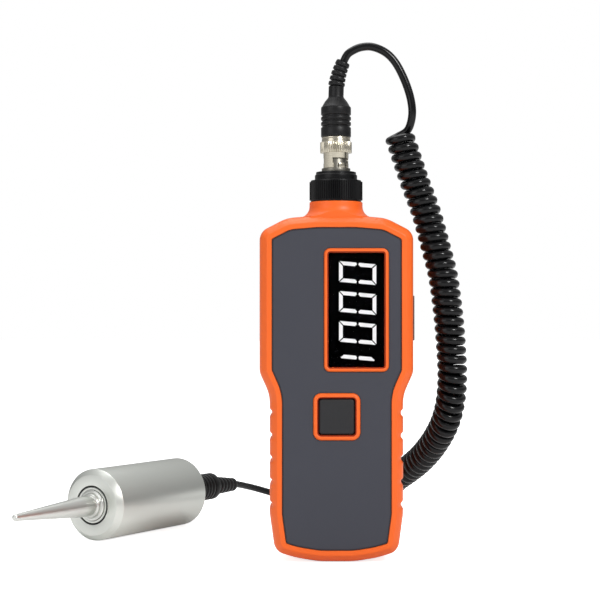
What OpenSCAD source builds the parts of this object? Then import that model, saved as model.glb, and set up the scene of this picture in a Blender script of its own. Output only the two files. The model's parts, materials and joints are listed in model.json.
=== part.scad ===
// Handheld vibration meter with a lead-connected measuring probe.
// Millimetres. X to the right, Y to the back, Z up. The origin is the centre of the foot.

/* [Housing] */
// Width over the shoulders
body_w = 68; // [66:0.5:76]
// Width of the grip below the waist
grip_w = 59; // [57:0.5:61]
// Thickness from the front rim to the back face
body_t = 30; // [29.5:0.5:34]
// Height of the lower end of the waist above the foot
waist_z = 73.2; // [72:0.5:80]
// Height of the waist, over which the housing widens
waist_rise = 10; // [8:0.5:12]
// Height of the straight upper sides
chest_h = 62.1; // [61:0.5:70]
// Rise of the shoulders to the middle of the top
shoulder_rise = 7.3; // [6.5:0.1:8]
// Thickness of the housing walls
wall = 2; // [1.6:0.1:2.2]
// Distance of the front panel's edge from the housing's outline
panel_inset = 5.5; // [5:0.1:6]
// Thickness of the inlaid front panel
panel_t = 0.9; // [0.6:0.1:1.2]
// Depth of the panel's face below the front rim
panel_drop = 0.5; // [0.3:0.1:0.8]
// Distance from one finger notch to the next
notch_pitch = 10.1; // [9:0.1:10.5]
// Depth of a finger notch
notch_depth = 0.9; // [0.5:0.1:1.2]
// Radius of the round neck under the connector
neck_r = 11.85; // [11.5:0.05:12.2]
// Height of the neck above the shoulders
neck_h = 6.4; // [6:0.1:8]

/* [Display] */
// Width of the window in the front
window_w = 24.7; // [22:0.1:26]
// Height of the window in the front
window_h = 50.4; // [46:0.1:52]
// Distance of the window's ridge from the panel's right edge
window_side = 5.7; // [4.8:0.1:7.3]
// Thickness of the window
window_t = 1.5; // [1:0.1:1.6]
// Width of the raised ridge round the window
ridge_w = 1.85; // [1.4:0.05:2.1]
// Height of the raised ridges above the panel
ridge_rise = 1.1; // [0.6:0.1:1.4]

/* [Button] */
// Width and height of the square button cap
button_w = 15.6; // [13:0.1:17]
// Travel of the button
button_travel = 0.8; // [0.4:0.1:1]
// Gap round the button cap
button_gap = 0.3; // [0.2:0.05:0.4]
// Width of the raised ridge round the button
button_ridge_w = 2.2; // [1.6:0.1:2.4]

/* [Side switches] */
// Height of the switch plate
plate_h = 19.8; // [19:0.1:24]
// Width of the switch plate
plate_w = 6.8; // [6.2:0.1:7]
// Distance the switch plate stands proud
plate_proud = 0.6; // [0.3:0.1:0.8]
// Distance between two switch positions
switch_step = 2; // [1.5:0.1:2.2]

/* [Battery] */
// Width of the battery
battery_w = 26.5; // [24:0.5:27.5]
// Height of the battery without its terminals
battery_h = 48.5; // [46:0.5:50]
// Thickness of the battery
battery_t = 17; // [15:0.1:17.2]
// Radius of the battery door's hinge barrel
barrel_r = 2.6; // [2.3:0.1:2.8]

/* [Connector] */
// Radius of the knurled lock ring
lock_r = 11.85; // [11:0.05:13]
// Height of the knurled lock ring
lock_h = 9.8; // [8:0.1:12]
// Radius of the stepped adapter ring
adapter_r = 9.45; // [9:0.05:10]
// Height of the adapter ring above the lock ring
adapter_h = 3.6; // [3:0.1:5]
// Radius of the socket's outer barrel
barrel_socket_r = 4.8; // [4.6:0.05:4.9]
// Height of the socket's barrel above its flange
socket_h = 7; // [7:0.1:9]
// Outer radius of the bayonet sleeve
sleeve_r = 5.6; // [5.5:0.05:6]
// Radius of the sleeve's knurled ring
knurl_r = 7.05; // [6.8:0.05:8]
// Height of the sleeve's knurled ring
knurl_h = 6.3; // [5:0.1:8]
// Radius of the plug's boot
boot_r = 6.7; // [6.2:0.1:7.5]
// Height of the boot's cylinder
boot_h = 13.8; // [12:0.1:16]
// Lean of the strain relief above the boot
relief_lean = 15; // [5:1:15]

/* [Cord] */
// Diameter of the cord
cord_d = 3.6; // [3:0.1:3.6]
// Radius of the curls, measured to the cord's middle
curl_r = 4.95; // [4.8:0.05:5.2]
// Clear gap between neighbouring curls on the inside of a bend
curl_gap = 0.8; // [0.6:0.05:1]

/* [Probe] */
// Radius of the probe's case
case_r = 17.25; // [16.5:0.05:18]
// Length of the probe's case
case_l = 72; // [68:1:90]
// Wall of the probe's case
case_wall = 3; // [2:0.1:3.4]
// Width of the case's front chamfer
case_chamfer = 2.6; // [1:0.1:3]
// Length of the tip in front of the case
tip_l = 56.5; // [40:0.5:70]
// Radius of the tip's root
tip_r = 4.5; // [4:0.1:5]
// Radius of the tip's rounded end
tip_end_r = 1.2; // [0.8:0.1:1.6]
// Radius of the polished collar round the tip
collar_r = 7.4; // [7:0.1:8.5]

/* [Hidden] */
$fn = 64;

// Clearances
fit_gap = 0.15;
running_gap = 0.07;
open_gap = 0.3;
seat_gap = 0.05;
overrun = 1;

// Colours
orange = [0.96, 0.38, 0.13];
panel_grey = [0.29, 0.30, 0.34];
ink_black = [0.03, 0.03, 0.035];
soft_black = [0.08, 0.08, 0.09];
nickel = [0.72, 0.71, 0.68];
satin = [0.78, 0.78, 0.77];

// Housing levels along Y
front_y = -body_t / 2;
back_y = body_t / 2;
panel_y = front_y + panel_drop;
floor_y = panel_y + panel_t;
inner_y = floor_y + wall;
seam_y = 3;
back_inner_y = back_y - wall;

// Housing levels along Z
waist_top_z = waist_z + waist_rise;
shoulder_z = waist_top_z + chest_h;
top_z = shoulder_z + shoulder_rise;
neck_top_z = top_z + neck_h;

// Corners of the housing's right half, from the foot to the middle of the top
foot_half = 8;
foot_mid = [18, 1.65];
foot_corner = [27.2, 4.4];
grip_low_z = 21;
shoulder_half = 22;
shoulder_drop = 1.1;
top_half = 9;
foot_r = 40;
foot_corner_r = 6;
grip_r = 10;
waist_low_r = 18;
waist_top_r = 8;
shoulder_r = 6;
shoulder_top_r = 16;
sharp_r = 0.3;
lean_in = grip_w / 2 - foot_corner.x;
half_points = [
    [foot_half, 0, foot_r],
    [foot_mid.x, foot_mid.y, foot_r],
    [grip_w / 2 - lean_in, foot_corner.y, foot_corner_r],
    [grip_w / 2, grip_low_z, grip_r],
    [grip_w / 2, waist_z, waist_low_r],
    [body_w / 2, waist_top_z, waist_top_r],
    [body_w / 2, shoulder_z, shoulder_r],
    [shoulder_half, top_z - shoulder_drop, shoulder_top_r],
    [top_half, top_z, shoulder_top_r]];
arc_steps = [2, 2, 6, 2, 4, 4, 6, 3, 2];
grip_index = 3;

// A notch as shares of the pitch along the side and shares of the depth
notch_shares = [[-0.3, -0.1], [-0.19, 0], [-0.08, 1], [0.06, 1], [0.15, 0], [0.3, -0.1]];
notch_count = 5;
notch_start = 1.2;
notch_low_z = grip_low_z + notch_start - notch_shares[0].x * notch_pitch;

// The rounding of the front and the back: share of the edge's depth, share of the rim's
// inset and share of the notches' depth
edge_d = 9;
front_rim_inset = 3.3;
back_edge_d = 7;
back_inset = 5;
front_edge_shares = [[0, 1, 0], [0.08, 0.72, 0.2], [0.35, 0.34, 0.7], [0.7, 0.08, 1], [1, 0, 1]];
back_edge_shares = [[0, 1, 0], [0.06, 0.72, 0], [0.25, 0.36, 0.4], [0.6, 0.1, 1], [1, 0, 1]];

function unit(v) = v / norm(v);
function out_of(a, b) = let (u = unit(b - a)) [u.y, -u.x];
function flat(p) = [p.x, p.y];
function moved_in(a, b, c, d) = let (n = out_of(a, b), m = out_of(b, c)) b - d * (n + m) / (1 + n * m);
function turns_left(a, b, c) = cross(b - a, c - b) > 0;
function inset_r(a, b, c, r, d) = turns_left(a, b, c) ? max(r - d, sharp_r) : r + d;
function arc_of(a, b, c, r, steps) =
    let (u = unit(a - b), v = unit(c - b), half = acos(u * v) / 2,
        mid = b + unit(u + v) * r / sin(half), start = b + u * r / tan(half), end = b + v * r / tan(half),
        from = atan2(start.y - mid.y, start.x - mid.x), to = atan2(end.y - mid.y, end.x - mid.x),
        sweep = (to - from + 540) % 360 - 180)
    [for (i = [0:steps]) mid + r * [cos(from + sweep * i / steps), sin(from + sweep * i / steps)]];
function mirrored(pts) = [for (i = [len(pts) - 1:-1:0]) [-pts[i].x, pts[i].y]];
function notch_points(d, depth) =
    [for (i = [0:notch_count - 1], s = notch_shares)
        [grip_w / 2 - d - depth * s.y, notch_low_z + notch_pitch * (i + s.x)]];

// The right half of the outline, moved in by d, with or without its finger notches
function half_outline(d, notched, depth) =
    let (whole = concat(half_points, [for (i = [len(half_points) - 1:-1:0])
                [-half_points[i].x, half_points[i].y, half_points[i].z]]),
        n = len(whole), p = [for (v = whole) flat(v)])
    [for (i = [0:len(half_points) - 1])
        let (a = p[(i + n - 1) % n], b = p[i], c = p[i + 1],
            prev = i == 0 ? p[n - 1] : a,
            before = moved_in(p[(i + n - 2) % n], prev, b, d), here = moved_in(prev, b, c, d),
            after = moved_in(b, c, p[(i + 2) % n], d))
        each concat(arc_of(before, here, after, inset_r(prev, b, c, whole[i].z, d), arc_steps[i]),
            notched && i == grip_index ? notch_points(d, depth) : [])];
function outline(d, notched = false, depth = 0) =
    let (h = half_outline(d, notched, depth)) concat(h, mirrored(h));

// A closed frame whose skin runs through rings of equal length, from the last to the first again
module framed(rings) {
    n = len(rings[0]);
    m = len(rings);
    polyhedron(points = [for (ring = rings) each ring],
        faces = [for (j = [0:m - 1], i = [0:n - 1]) let (k = (i + 1) % n, next = (j + 1) % m)
            each [[j * n + i, next * n + i, next * n + k], [j * n + i, next * n + k, j * n + k]]],
        convexity = 8);
}
// A solid tube through rings of equal length, with flat ends
module lofted(rings) {
    n = len(rings[0]);
    m = len(rings);
    sides = [for (j = [0:m - 2], i = [0:n - 1]) let (k = (i + 1) % n)
        each [[j * n + i, (j + 1) * n + i, (j + 1) * n + k], [j * n + i, (j + 1) * n + k, j * n + k]]];
    first = [for (i = [0:n - 1]) i];
    last = [for (i = [n - 1:-1:0]) (m - 1) * n + i];
    polyhedron(points = [for (ring = rings) each ring], faces = concat([first, last], sides), convexity = 6);
}
function ring_at(y, d, depth) = [for (p = outline(d, true, depth)) [p.x, y, p.y]];

// A flat shape standing in the XZ plane, from y over a depth to the back
module facing(y, depth) {
    translate([0, y + depth, 0]) rotate([90, 0, 0]) linear_extrude(height = depth) children();
}
module rounded_rect(w, h, r) {
    square([w - 2 * r, h], center = true);
    square([w, h - 2 * r], center = true);
    for (x = [-1, 1], y = [-1, 1]) translate([x * (w / 2 - r), y * (h / 2 - r)]) circle(r);
}
module at_xz(x, z) { translate([x, z]) children(); }
module along_y(x, y, z, length, r) {
    translate([x, y, z]) rotate([-90, 0, 0]) cylinder(h = length, r = r);
}
module along_x(x, y, z, length, r) {
    translate([x, y, z]) rotate([0, 90, 0]) cylinder(h = length, r = r);
}
module rod(z, length, r) { translate([0, 0, z]) cylinder(h = length, r = r); }
module tube_of(z, length, r, bore) {
    difference() {
        rod(z, length, r);
        rod(z - overrun, length + 2 * overrun, bore);
    }
}
function toothed(count, r, depth) = [for (i = [0:count - 1]) let (a = 360 * i / count, b = 180 / count)
    each [(r - depth) * [cos(a), sin(a)], r * [cos(a + b * 0.7), sin(a + b * 0.7)],
        r * [cos(a + b * 1.3), sin(a + b * 1.3)]]];

// Neck: a round neck with a fillet at its foot, kept within the housing's thickness
neck_root = 5;
neck_fillet_r = 5;
neck_side_gap = 0.6;
neck_wall = 3;
neck_roof = 3.5;
neck_hollow_r = neck_r - neck_wall;
neck_root_z = top_z - neck_root;
neck_foot_z = top_z - shoulder_drop / 2;
fillet_steps = 8;
function neck_fillet_at(a) = [neck_r, neck_foot_z] + neck_fillet_r * [1 - sin(a), 1 - cos(a)];
module neck(y_from, y_to) {
    intersection() {
        rotate_extrude() polygon(concat([[0, neck_root_z], [neck_r + neck_fillet_r, neck_root_z]],
            [for (i = [0:fillet_steps]) neck_fillet_at(90 * i / fillet_steps)],
            [[neck_r, neck_top_z], [0, neck_top_z]]));
        translate([-body_w / 2, y_from, 0]) cube([body_w, y_to - y_from, neck_top_z + overrun]);
    }
}
inner_inset = wall + notch_depth;
inner_slope = 2.2;
rim_flat = 1.5;
module body_front() {
    framed(concat([for (i = [len(front_edge_shares) - 1:-1:0]) let (s = front_edge_shares[i])
            ring_at(front_y + edge_d * s[0], front_rim_inset * s[1], notch_depth * s[2])],
        [ring_at(front_y, panel_inset, 0), ring_at(inner_y, panel_inset, 0),
            ring_at(inner_y + inner_slope, inner_inset, 0), ring_at(seam_y, inner_inset, 0),
            ring_at(seam_y, 0, notch_depth)]));
    facing(floor_y, wall) polygon(outline(panel_inset - wall / 4));
    neck(-neck_r - neck_side_gap, seam_y);
}
module body_back() {
    back_flat = back_inset + rim_flat;
    framed(concat([ring_at(seam_y, 0, notch_depth), ring_at(seam_y, inner_inset, 0),
            ring_at(back_inner_y - inner_slope, inner_inset, 0), ring_at(back_inner_y, back_flat, 0),
            ring_at(back_y, back_flat, 0)],
        [for (s = back_edge_shares)
            ring_at(back_y - back_edge_d * s[0], back_inset * s[1], notch_depth * s[2])]));
    facing(back_inner_y, wall) polygon(outline(back_inset + rim_flat / 2));
    neck(seam_y, neck_r + neck_side_gap);
}

// Window, ridges and button places
window_x = body_w / 2 - panel_inset - window_side - ridge_w - window_w / 2;
window_drop = 9.3;
window_z = shoulder_z - window_drop - window_h / 2;
button_x = 0;
button_drop = 21.55;
button_z = window_z - window_h / 2 - button_drop;
ridge_top_y = panel_y - ridge_rise;
window_corner_r = 0.9;
window_ledge = 1;
window_sink = 0.3;
window_y = panel_y + window_sink;
button_corner_r = 1.3;
button_hole_w = button_w + 2 * button_gap;
ridge_steps = 8;
function ridge_profile(w, rise) = concat([[-w / 2, 0]],
    [for (i = [0:ridge_steps]) let (a = 180 - 180 * i / ridge_steps)
        [w / 2 * cos(a), (floor_y - ridge_top_y - rise) + rise * sin(a)]], [[w / 2, 0]]);

// A rounded ridge round an opening of w by h with corner radius r, standing on the panel's floor
module ridge(w, h, r, width) {
    mid = r + width / 2;
    rise = ridge_rise;
    for (k = [0:3]) {
        odd = k % 2 == 1;
        run = (odd ? w : h) - 2 * r;
        reach = (odd ? h : w) / 2;
        rotate([0, 0, 90 * k]) translate([reach + width / 2, run / 2, 0]) rotate([90, 0, 0])
            linear_extrude(height = run) polygon(ridge_profile(width, rise));
        rotate([0, 0, 90 * k]) translate([reach - r, run / 2, 0])
            rotate_extrude(angle = 90) translate([mid, 0]) polygon(ridge_profile(width, rise));
    }
}
module on_floor(x, z) { translate([x, floor_y, z]) rotate([90, 0, 0]) children(); }

// Screws that hold the shells
screw_high = [10, 1.8];
screw_low = [7.5, 15.5];
screw_r = 1.2;
screw_bore_r = screw_r + seat_gap;
screw_head_r = 2.8;
screw_head_h = 1.9;
screw_well_r = screw_head_r + open_gap;
screw_well_d = 3.5;
screw_seat_y = back_y - screw_well_d;
screw_tip_gap = 4;
screw_tip_y = inner_y + screw_tip_gap;
post_r = 3.4;
column_r = 4.2;
cross_w = 0.7;
cross_l = 3.2;
cross_d = 0.9;
screw_places = [for (s = [-1, 1]) each [[s * (body_w / 2 - screw_high.x), shoulder_z - screw_high.y],
        [s * (grip_w / 2 - screw_low.x), screw_low.y]]];

// Circuit board and its posts
board_gap = 4.1;
board_y = inner_y + board_gap;
board_t = 1.6;
board_back_y = board_y + board_t;
board_side_gap = 2.5;
board_half = body_w / 2 - wall - board_side_gap;
board_top_drop = 6.8;
board_top_z = shoulder_z - board_top_drop;
board_low_half = 19;
board_low_reach = 13;
board_low_z = button_z - board_low_reach;
board_post_rise = 4;
board_post_r = 2.4;
board_screw_r = 1;
board_head_r = 1.9;
board_head_h = 1.3;
board_screw_l = 3.2;
board_post_x = board_half - board_post_r - fit_gap;
board_places = [for (s = [-1, 1]) each [[s * board_post_x, board_top_z - board_post_rise],
        [s * board_post_x, waist_top_z + board_post_rise]]];

// Side switches
switch_rise = 3;
switch_y = board_back_y + switch_rise;
plate_x = body_w / 2 - wall / 2;
plate_top_x = body_w / 2 + plate_proud;
plate_drop = 38;
plate_z = shoulder_z - plate_drop;
mode_rise = 4.7;
range_drop = 5.4;
mode_z = plate_z + mode_rise;
range_z = plate_z - range_drop;
knob_h = 2.4;
knob_w = 3.2;
stem_h = 2;
stem_w = 1.8;
knob_sink = 0.2;
mode_slot_h = knob_h + 2 * switch_step + 2 * fit_gap;
range_slot_h = knob_h + switch_step + 2 * fit_gap;
switch_w = 5.6;
switch_d = 5.2;
switch_wall = 0.7;
switch_x = body_w / 2 - inner_inset - open_gap;
range_rest_z = range_z + switch_step / 2;

// Battery, its tray and door
battery_gap = 0.3;
door_gap = 0.2;
door_t = 1.8;
door_y = back_y - door_t;
hinge_y = back_y - barrel_r;
hinge_z = 10;
tray_wall = 1.2;
tray_z = hinge_z + barrel_r + open_gap;
battery_z = tray_z + tray_wall + battery_gap;
battery_y = door_y - battery_gap - battery_t;
tray_floor_t = 0.8;
tray_y = battery_y - battery_gap - tray_floor_t;
battery_edge_r = 2.5;
terminal_r = 2.9;
terminal_wide_r = 3.9;
terminal_h = 2.5;
terminal_x = 6.4;
snap_t = 1.6;
snap_wall = 1;
snap_z = battery_z + battery_h + seat_gap;
snap_h = terminal_h + snap_t;
tray_top_z = snap_z + snap_h + open_gap;
tray_half = battery_w / 2 + battery_gap;
door_half = tray_half + tray_wall + battery_gap;
door_reach = 1;
door_top_z = tray_top_z + tray_wall + door_reach;
ledge_w = 2;
ledge_t = 1.2;
hinge_pin_r = 1;
hinge_pin_l = 1.8;
cheek_w = 3;
cheek_y = hinge_y - barrel_r - overrun;
grip_rib_w = 0.7;
grip_rib_count = 4;
grip_rib_pitch = 1.9;
grip_rib_d = 0.4;
thumb_r = 7;

module front_shell() color(orange) {
    difference() {
        union() {
            body_front();
            on_floor(window_x, window_z) ridge(window_w, window_h, window_corner_r, ridge_w);
            on_floor(button_x, button_z)
                ridge(button_hole_w, button_hole_w, button_corner_r, button_ridge_w);
        }
        neck_hollow();
        facing(front_y - body_t, body_t + inner_y - front_y + overrun) at_xz(window_x, window_z)
            square([window_w - 2 * window_ledge, window_h - 2 * window_ledge], center = true);
        facing(front_y - body_t, body_t + window_y + window_t - front_y) at_xz(window_x, window_z)
            rounded_rect(window_w, window_h, window_corner_r);
        facing(front_y - body_t, body_t + inner_y - front_y + overrun) at_xz(button_x, button_z)
            rounded_rect(button_hole_w, button_hole_w, button_corner_r);
        socket_hole();
        switch_cuts();
    }
    difference() {
        front_posts();
        for (p = screw_places) along_y(p.x, screw_tip_y, p.y, back_y, screw_bore_r);
        for (p = board_places)
            along_y(p.x, board_y - board_screw_l, p.y, board_screw_l + overrun, board_screw_r + seat_gap);
    }
}
module neck_hollow() {
    rod(neck_root_z - neck_wall, neck_top_z - neck_roof - neck_root_z + neck_wall, neck_hollow_r);
}
module front_posts() {
    for (p = screw_places) along_y(p.x, inner_y - seat_gap, p.y, seam_y - inner_y + seat_gap, post_r);
    for (p = board_places) along_y(p.x, inner_y - seat_gap, p.y, board_gap + seat_gap, board_post_r);
}
module switch_cuts() {
    translate([plate_x, switch_y - plate_w / 2 - fit_gap, plate_z - plate_h / 2 - fit_gap])
        cube([body_w, plate_w + 2 * fit_gap, plate_h + 2 * fit_gap]);
    for (s = [[mode_z, mode_slot_h], [range_z, range_slot_h]])
        translate([switch_x - overrun, switch_y - stem_w / 2 - open_gap, s[0] - s[1] / 2])
            cube([inner_inset + 2 * overrun, stem_w + 2 * open_gap, s[1]]);
}

module rear_shell() color(orange) {
    difference() {
        union() {
            difference() {
                body_back();
                neck_hollow();
            }
            for (p = screw_places) along_y(p.x, seam_y, p.y, back_inner_y - seam_y + seat_gap, column_r);
            tray();
            cheeks();
        }
        for (p = screw_places) {
            along_y(p.x, seam_y - overrun, p.y, body_t, screw_r + open_gap);
            along_y(p.x, screw_seat_y, p.y, body_t, screw_well_r);
        }
        socket_hole();
        door_cuts();
    }
}
module tray() {
    outer_half = tray_half + tray_wall;
    difference() {
        union() {
            translate([-outer_half, tray_y, tray_z])
                cube([2 * outer_half, back_inner_y - tray_y, tray_top_z + tray_wall - tray_z]);
            translate([-door_half - open_gap - ledge_w, back_inner_y - ledge_t, tray_z])
                cube([2 * (door_half + open_gap + ledge_w), ledge_t + seat_gap,
                    door_top_z + ledge_w - tray_z]);
        }
        translate([-tray_half, tray_y + tray_floor_t, tray_z + tray_wall])
            cube([2 * tray_half, body_t, tray_top_z - tray_z - tray_wall]);
        lead_notch();
    }
}
lead_notch_w = 4;
module lead_notch() {
    translate([-lead_notch_w / 2 - terminal_x, seam_y - lead_notch_w / 2, tray_top_z - overrun])
        cube([lead_notch_w, lead_notch_w, tray_wall + 2 * overrun]);
}
module cheeks() {
    for (s = [-1, 1]) translate([s * (door_half + open_gap + cheek_w / 2) - cheek_w / 2, cheek_y,
                hinge_z - barrel_r - open_gap])
        cube([cheek_w, back_inner_y - cheek_y + seat_gap, 2 * (barrel_r + open_gap)]);
}
module door_cuts() {
    translate([-door_half - open_gap, door_y - door_gap, hinge_z])
        cube([2 * (door_half + open_gap), body_t, door_top_z + open_gap - hinge_z]);
    along_x(-door_half - open_gap, hinge_y, hinge_z, 2 * (door_half + open_gap), barrel_r + open_gap);
    translate([-door_half - open_gap, hinge_y, hinge_z - barrel_r - open_gap])
        cube([2 * (door_half + open_gap), body_t, barrel_r + 2 * open_gap]);
    along_x(-door_half - hinge_pin_l - open_gap, hinge_y, hinge_z,
        2 * (door_half + hinge_pin_l + open_gap), hinge_pin_r + running_gap);
    translate([-tray_half, tray_y + tray_floor_t, tray_z + tray_wall])
        cube([2 * tray_half, body_t, tray_top_z - tray_z - tray_wall]);
}

module front_panel() color(panel_grey) {
    facing(panel_y, panel_t) difference() {
        polygon(outline(panel_inset + fit_gap));
        at_xz(window_x, window_z) rounded_rect(window_w + 2 * (ridge_w + fit_gap),
            window_h + 2 * (ridge_w + fit_gap), window_corner_r + ridge_w + fit_gap);
        at_xz(button_x, button_z) rounded_rect(button_hole_w + 2 * (button_ridge_w + fit_gap),
            button_hole_w + 2 * (button_ridge_w + fit_gap), button_corner_r + button_ridge_w + fit_gap);
    }
}

module display_window() color([0.02, 0.02, 0.03, 0.4])
    facing(window_y, window_t) at_xz(window_x, window_z)
        rounded_rect(window_w - 2 * fit_gap, window_h - 2 * fit_gap, window_corner_r - fit_gap);

// Display behind the window
lcd_t = 2.6;
lcd_side = 1.5;
lcd_end = 1.8;
lcd_w = window_w + 2 * lcd_side;
lcd_h = window_h + 2 * lcd_end;
lcd_wall = 1.4;
strip_w = 2;
digit_t = 0.15;
digit_h = 0.656 * window_w;
digit_w = 0.218 * window_h;
digit_one_w = 0.113 * window_h;
digit_pitch = 0.26 * window_h;
digit_start = 0.4345 * window_h;
segment_w = 2;
segment_gap = 0.35;
digit_slant = 0.09;
digit_count = 4;
lcd_y = inner_y;
module lcd_module() color(ink_black)
    facing(lcd_y, lcd_t) at_xz(window_x, window_z) square([lcd_w, lcd_h], center = true);

// One bar of a digit from a to b, pointed at both ends
module segment(a, b) {
    u = unit(b - a);
    v = [-u.y, u.x];
    w = segment_w / 2;
    p = a + u * segment_gap;
    q = b - u * segment_gap;
    polygon([p, p + w * (u + v), q + w * (v - u), q, q - w * (u + v), p + w * (u - v)]);
}
// Which bars of a digit are lit: top, right pair, bottom, left pair, middle
function bars(n) = n == 1 ? [1, 2] : [0, 1, 2, 3, 4, 5];
function bar_ends(w, h) = [[[0, h], [w, h]], [[w, h], [w, h / 2]], [[w, h / 2], [w, 0]], [[w, 0], [0, 0]],
    [[0, 0], [0, h / 2]], [[0, h / 2], [0, h]]];
function slanted(p) = [p.x + p.y * digit_slant, p.y];
module lcd_digits() color("white")
    facing(lcd_y - digit_t, digit_t) at_xz(window_x, window_z) rotate([0, 0, -90])
        for (i = [0:digit_count - 1])
            translate([i * digit_pitch - digit_start + segment_w / 2, -(digit_h - segment_w) / 2])
                for (k = bars(i == digit_count - 1 ? 1 : 0))
                    let (w = i == digit_count - 1 ? digit_one_w : digit_w,
                        e = bar_ends(w - segment_w - digit_slant * digit_h, digit_h - segment_w)[k])
                    segment(slanted(e[0]), slanted(e[1]));

module lcd_holder() color(soft_black)
    facing(lcd_y, board_y - lcd_y) at_xz(window_x, window_z) difference() {
        square([lcd_w + 2 * lcd_wall, lcd_h + 2 * lcd_wall], center = true);
        square([lcd_w + 2 * seat_gap, lcd_h + 2 * seat_gap], center = true);
    }
module contact_strips() color([0.55, 0.55, 0.6])
    for (s = [-1, 1]) facing(lcd_y + lcd_t, board_y - lcd_y - lcd_t)
        at_xz(window_x + s * (lcd_w / 2 - strip_w), window_z)
        square([strip_w, lcd_h - 2 * strip_w], center = true);

module main_board() color([0.05, 0.3, 0.16]) difference() {
    facing(board_y, board_t) {
        at_xz(-board_half, waist_top_z) square([2 * board_half, board_top_z - waist_top_z]);
        at_xz(-board_low_half, board_low_z)
            square([2 * board_low_half, waist_top_z - board_low_z + overrun]);
    }
    for (p = board_places)
        along_y(p.x, board_y - overrun, p.y, board_t + 2 * overrun, board_screw_r + fit_gap);
}
// Parts on the board's back: place in shares of the board's upper half, then width, height, depth
chip_shares = [[-0.45, 0.72], [0.3, 0.7], [-0.5, 0.28], [0.1, 0.3]];
chip_sizes = [[12, 12, 1.4], [7, 5, 1.6], [5, 6.5, 1.8], [9, 4, 1.8]];
can_r = 2.2;
can_h = 5;
can_shares = [[0.5, 0.38], [-0.15, 0.14]];
function board_place(share) =
    [board_half * share.x, waist_top_z + (board_top_z - waist_top_z) * share.y];
module board_parts() color(soft_black) {
    for (i = [0:len(chip_shares) - 1]) let (p = board_place(chip_shares[i]), s = chip_sizes[i])
        translate([p.x - s.x / 2, board_back_y, p.y - s.y / 2]) cube([s.x, s.z, s.y]);
    for (share = can_shares) let (p = board_place(share)) along_y(p.x, board_back_y, p.y, can_h, can_r);
}
shield_w = 16;
shield_h = 11;
shield_d = 3.2;
shield_t = 0.4;
shield_share = [-0.02, 0.5];
module board_shield() color(nickel) {
    p = board_place(shield_share);
    difference() {
        translate([p.x - shield_w / 2, board_back_y, p.y - shield_h / 2])
            cube([shield_w, shield_d, shield_h]);
        translate([p.x - shield_w / 2 + shield_t, board_back_y - shield_t, p.y - shield_h / 2 + shield_t])
            cube([shield_w - 2 * shield_t, shield_d, shield_h - 2 * shield_t]);
    }
}
module board_screws() color(nickel) for (p = board_places) difference() {
    union() {
        along_y(p.x, board_back_y - board_screw_l, p.y, board_screw_l + seat_gap, board_screw_r);
        along_y(p.x, board_back_y, p.y, board_head_h, board_head_r);
    }
    cross_cut(p, board_back_y + board_head_h, board_head_r);
}
module cross_cut(p, y, reach) {
    for (a = [0, 90]) translate([p.x, y, p.y]) rotate([0, a, 0])
        translate([-reach * 0.6, -cross_d, -cross_w / 2]) cube([reach * 1.2, 2 * cross_d, cross_w]);
}
module housing_screws() color(nickel) for (p = screw_places) difference() {
    union() {
        along_y(p.x, screw_tip_y + open_gap, p.y, screw_seat_y - screw_tip_y, screw_r);
        along_y(p.x, screw_seat_y, p.y, screw_head_h, screw_head_r);
    }
    cross_cut(p, screw_seat_y + screw_head_h, screw_head_r);
}

// Button, the switch under it and the plunger between them
cap_proud = 0.2;
cap_y = panel_y - cap_proud;
flange_side = 1.2;
flange_w = button_hole_w + 2 * flange_side;
flange_t = 1.2;
flange_y = inner_y + fit_gap;
cap_back_y = flange_y + flange_t;
tact_w = 6;
tact_h = 1.8;
plunger_r = 1.6;
tact_bore_r = plunger_r + running_gap;
tact_floor = 0.2;
plunger_end_y = board_y - tact_floor - button_travel - fit_gap;
tact_y = board_y - tact_h;
cap_dish_r = 60;
cap_dish_d = 0.3;
module measure_button() color([0.2, 0.2, 0.21]) {
    difference() {
        facing(cap_y, flange_y - cap_y + seat_gap) at_xz(button_x, button_z)
            rounded_rect(button_w, button_w, button_corner_r - button_gap);
        translate([button_x, cap_y + cap_dish_d - cap_dish_r, button_z]) sphere(r = cap_dish_r, $fn = 96);
    }
    facing(flange_y, flange_t) at_xz(button_x, button_z)
        rounded_rect(flange_w, flange_w, button_corner_r);
}
module button_plunger() color("white")
    along_y(button_x, cap_back_y, button_z, plunger_end_y - cap_back_y, plunger_r);
module button_switch() color(soft_black) difference() {
    translate([button_x - tact_w / 2, tact_y, button_z - tact_w / 2]) cube([tact_w, tact_h, tact_w]);
    along_y(button_x, tact_y - overrun, button_z, tact_h - tact_floor + overrun, tact_bore_r);
}

module switch_plate() color(soft_black) difference() {
    translate([plate_x, switch_y, plate_z]) rotate([0, 90, 0]) linear_extrude(height = plate_top_x - plate_x)
        rounded_rect(plate_h, plate_w, stem_w / 2);
    for (s = [[mode_z, mode_slot_h], [range_z, range_slot_h]])
        translate([plate_x - overrun, switch_y - knob_w / 2 - fit_gap, s[0] - s[1] / 2])
            cube([wall + plate_proud + overrun, knob_w + 2 * fit_gap, s[1]]);
}
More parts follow.
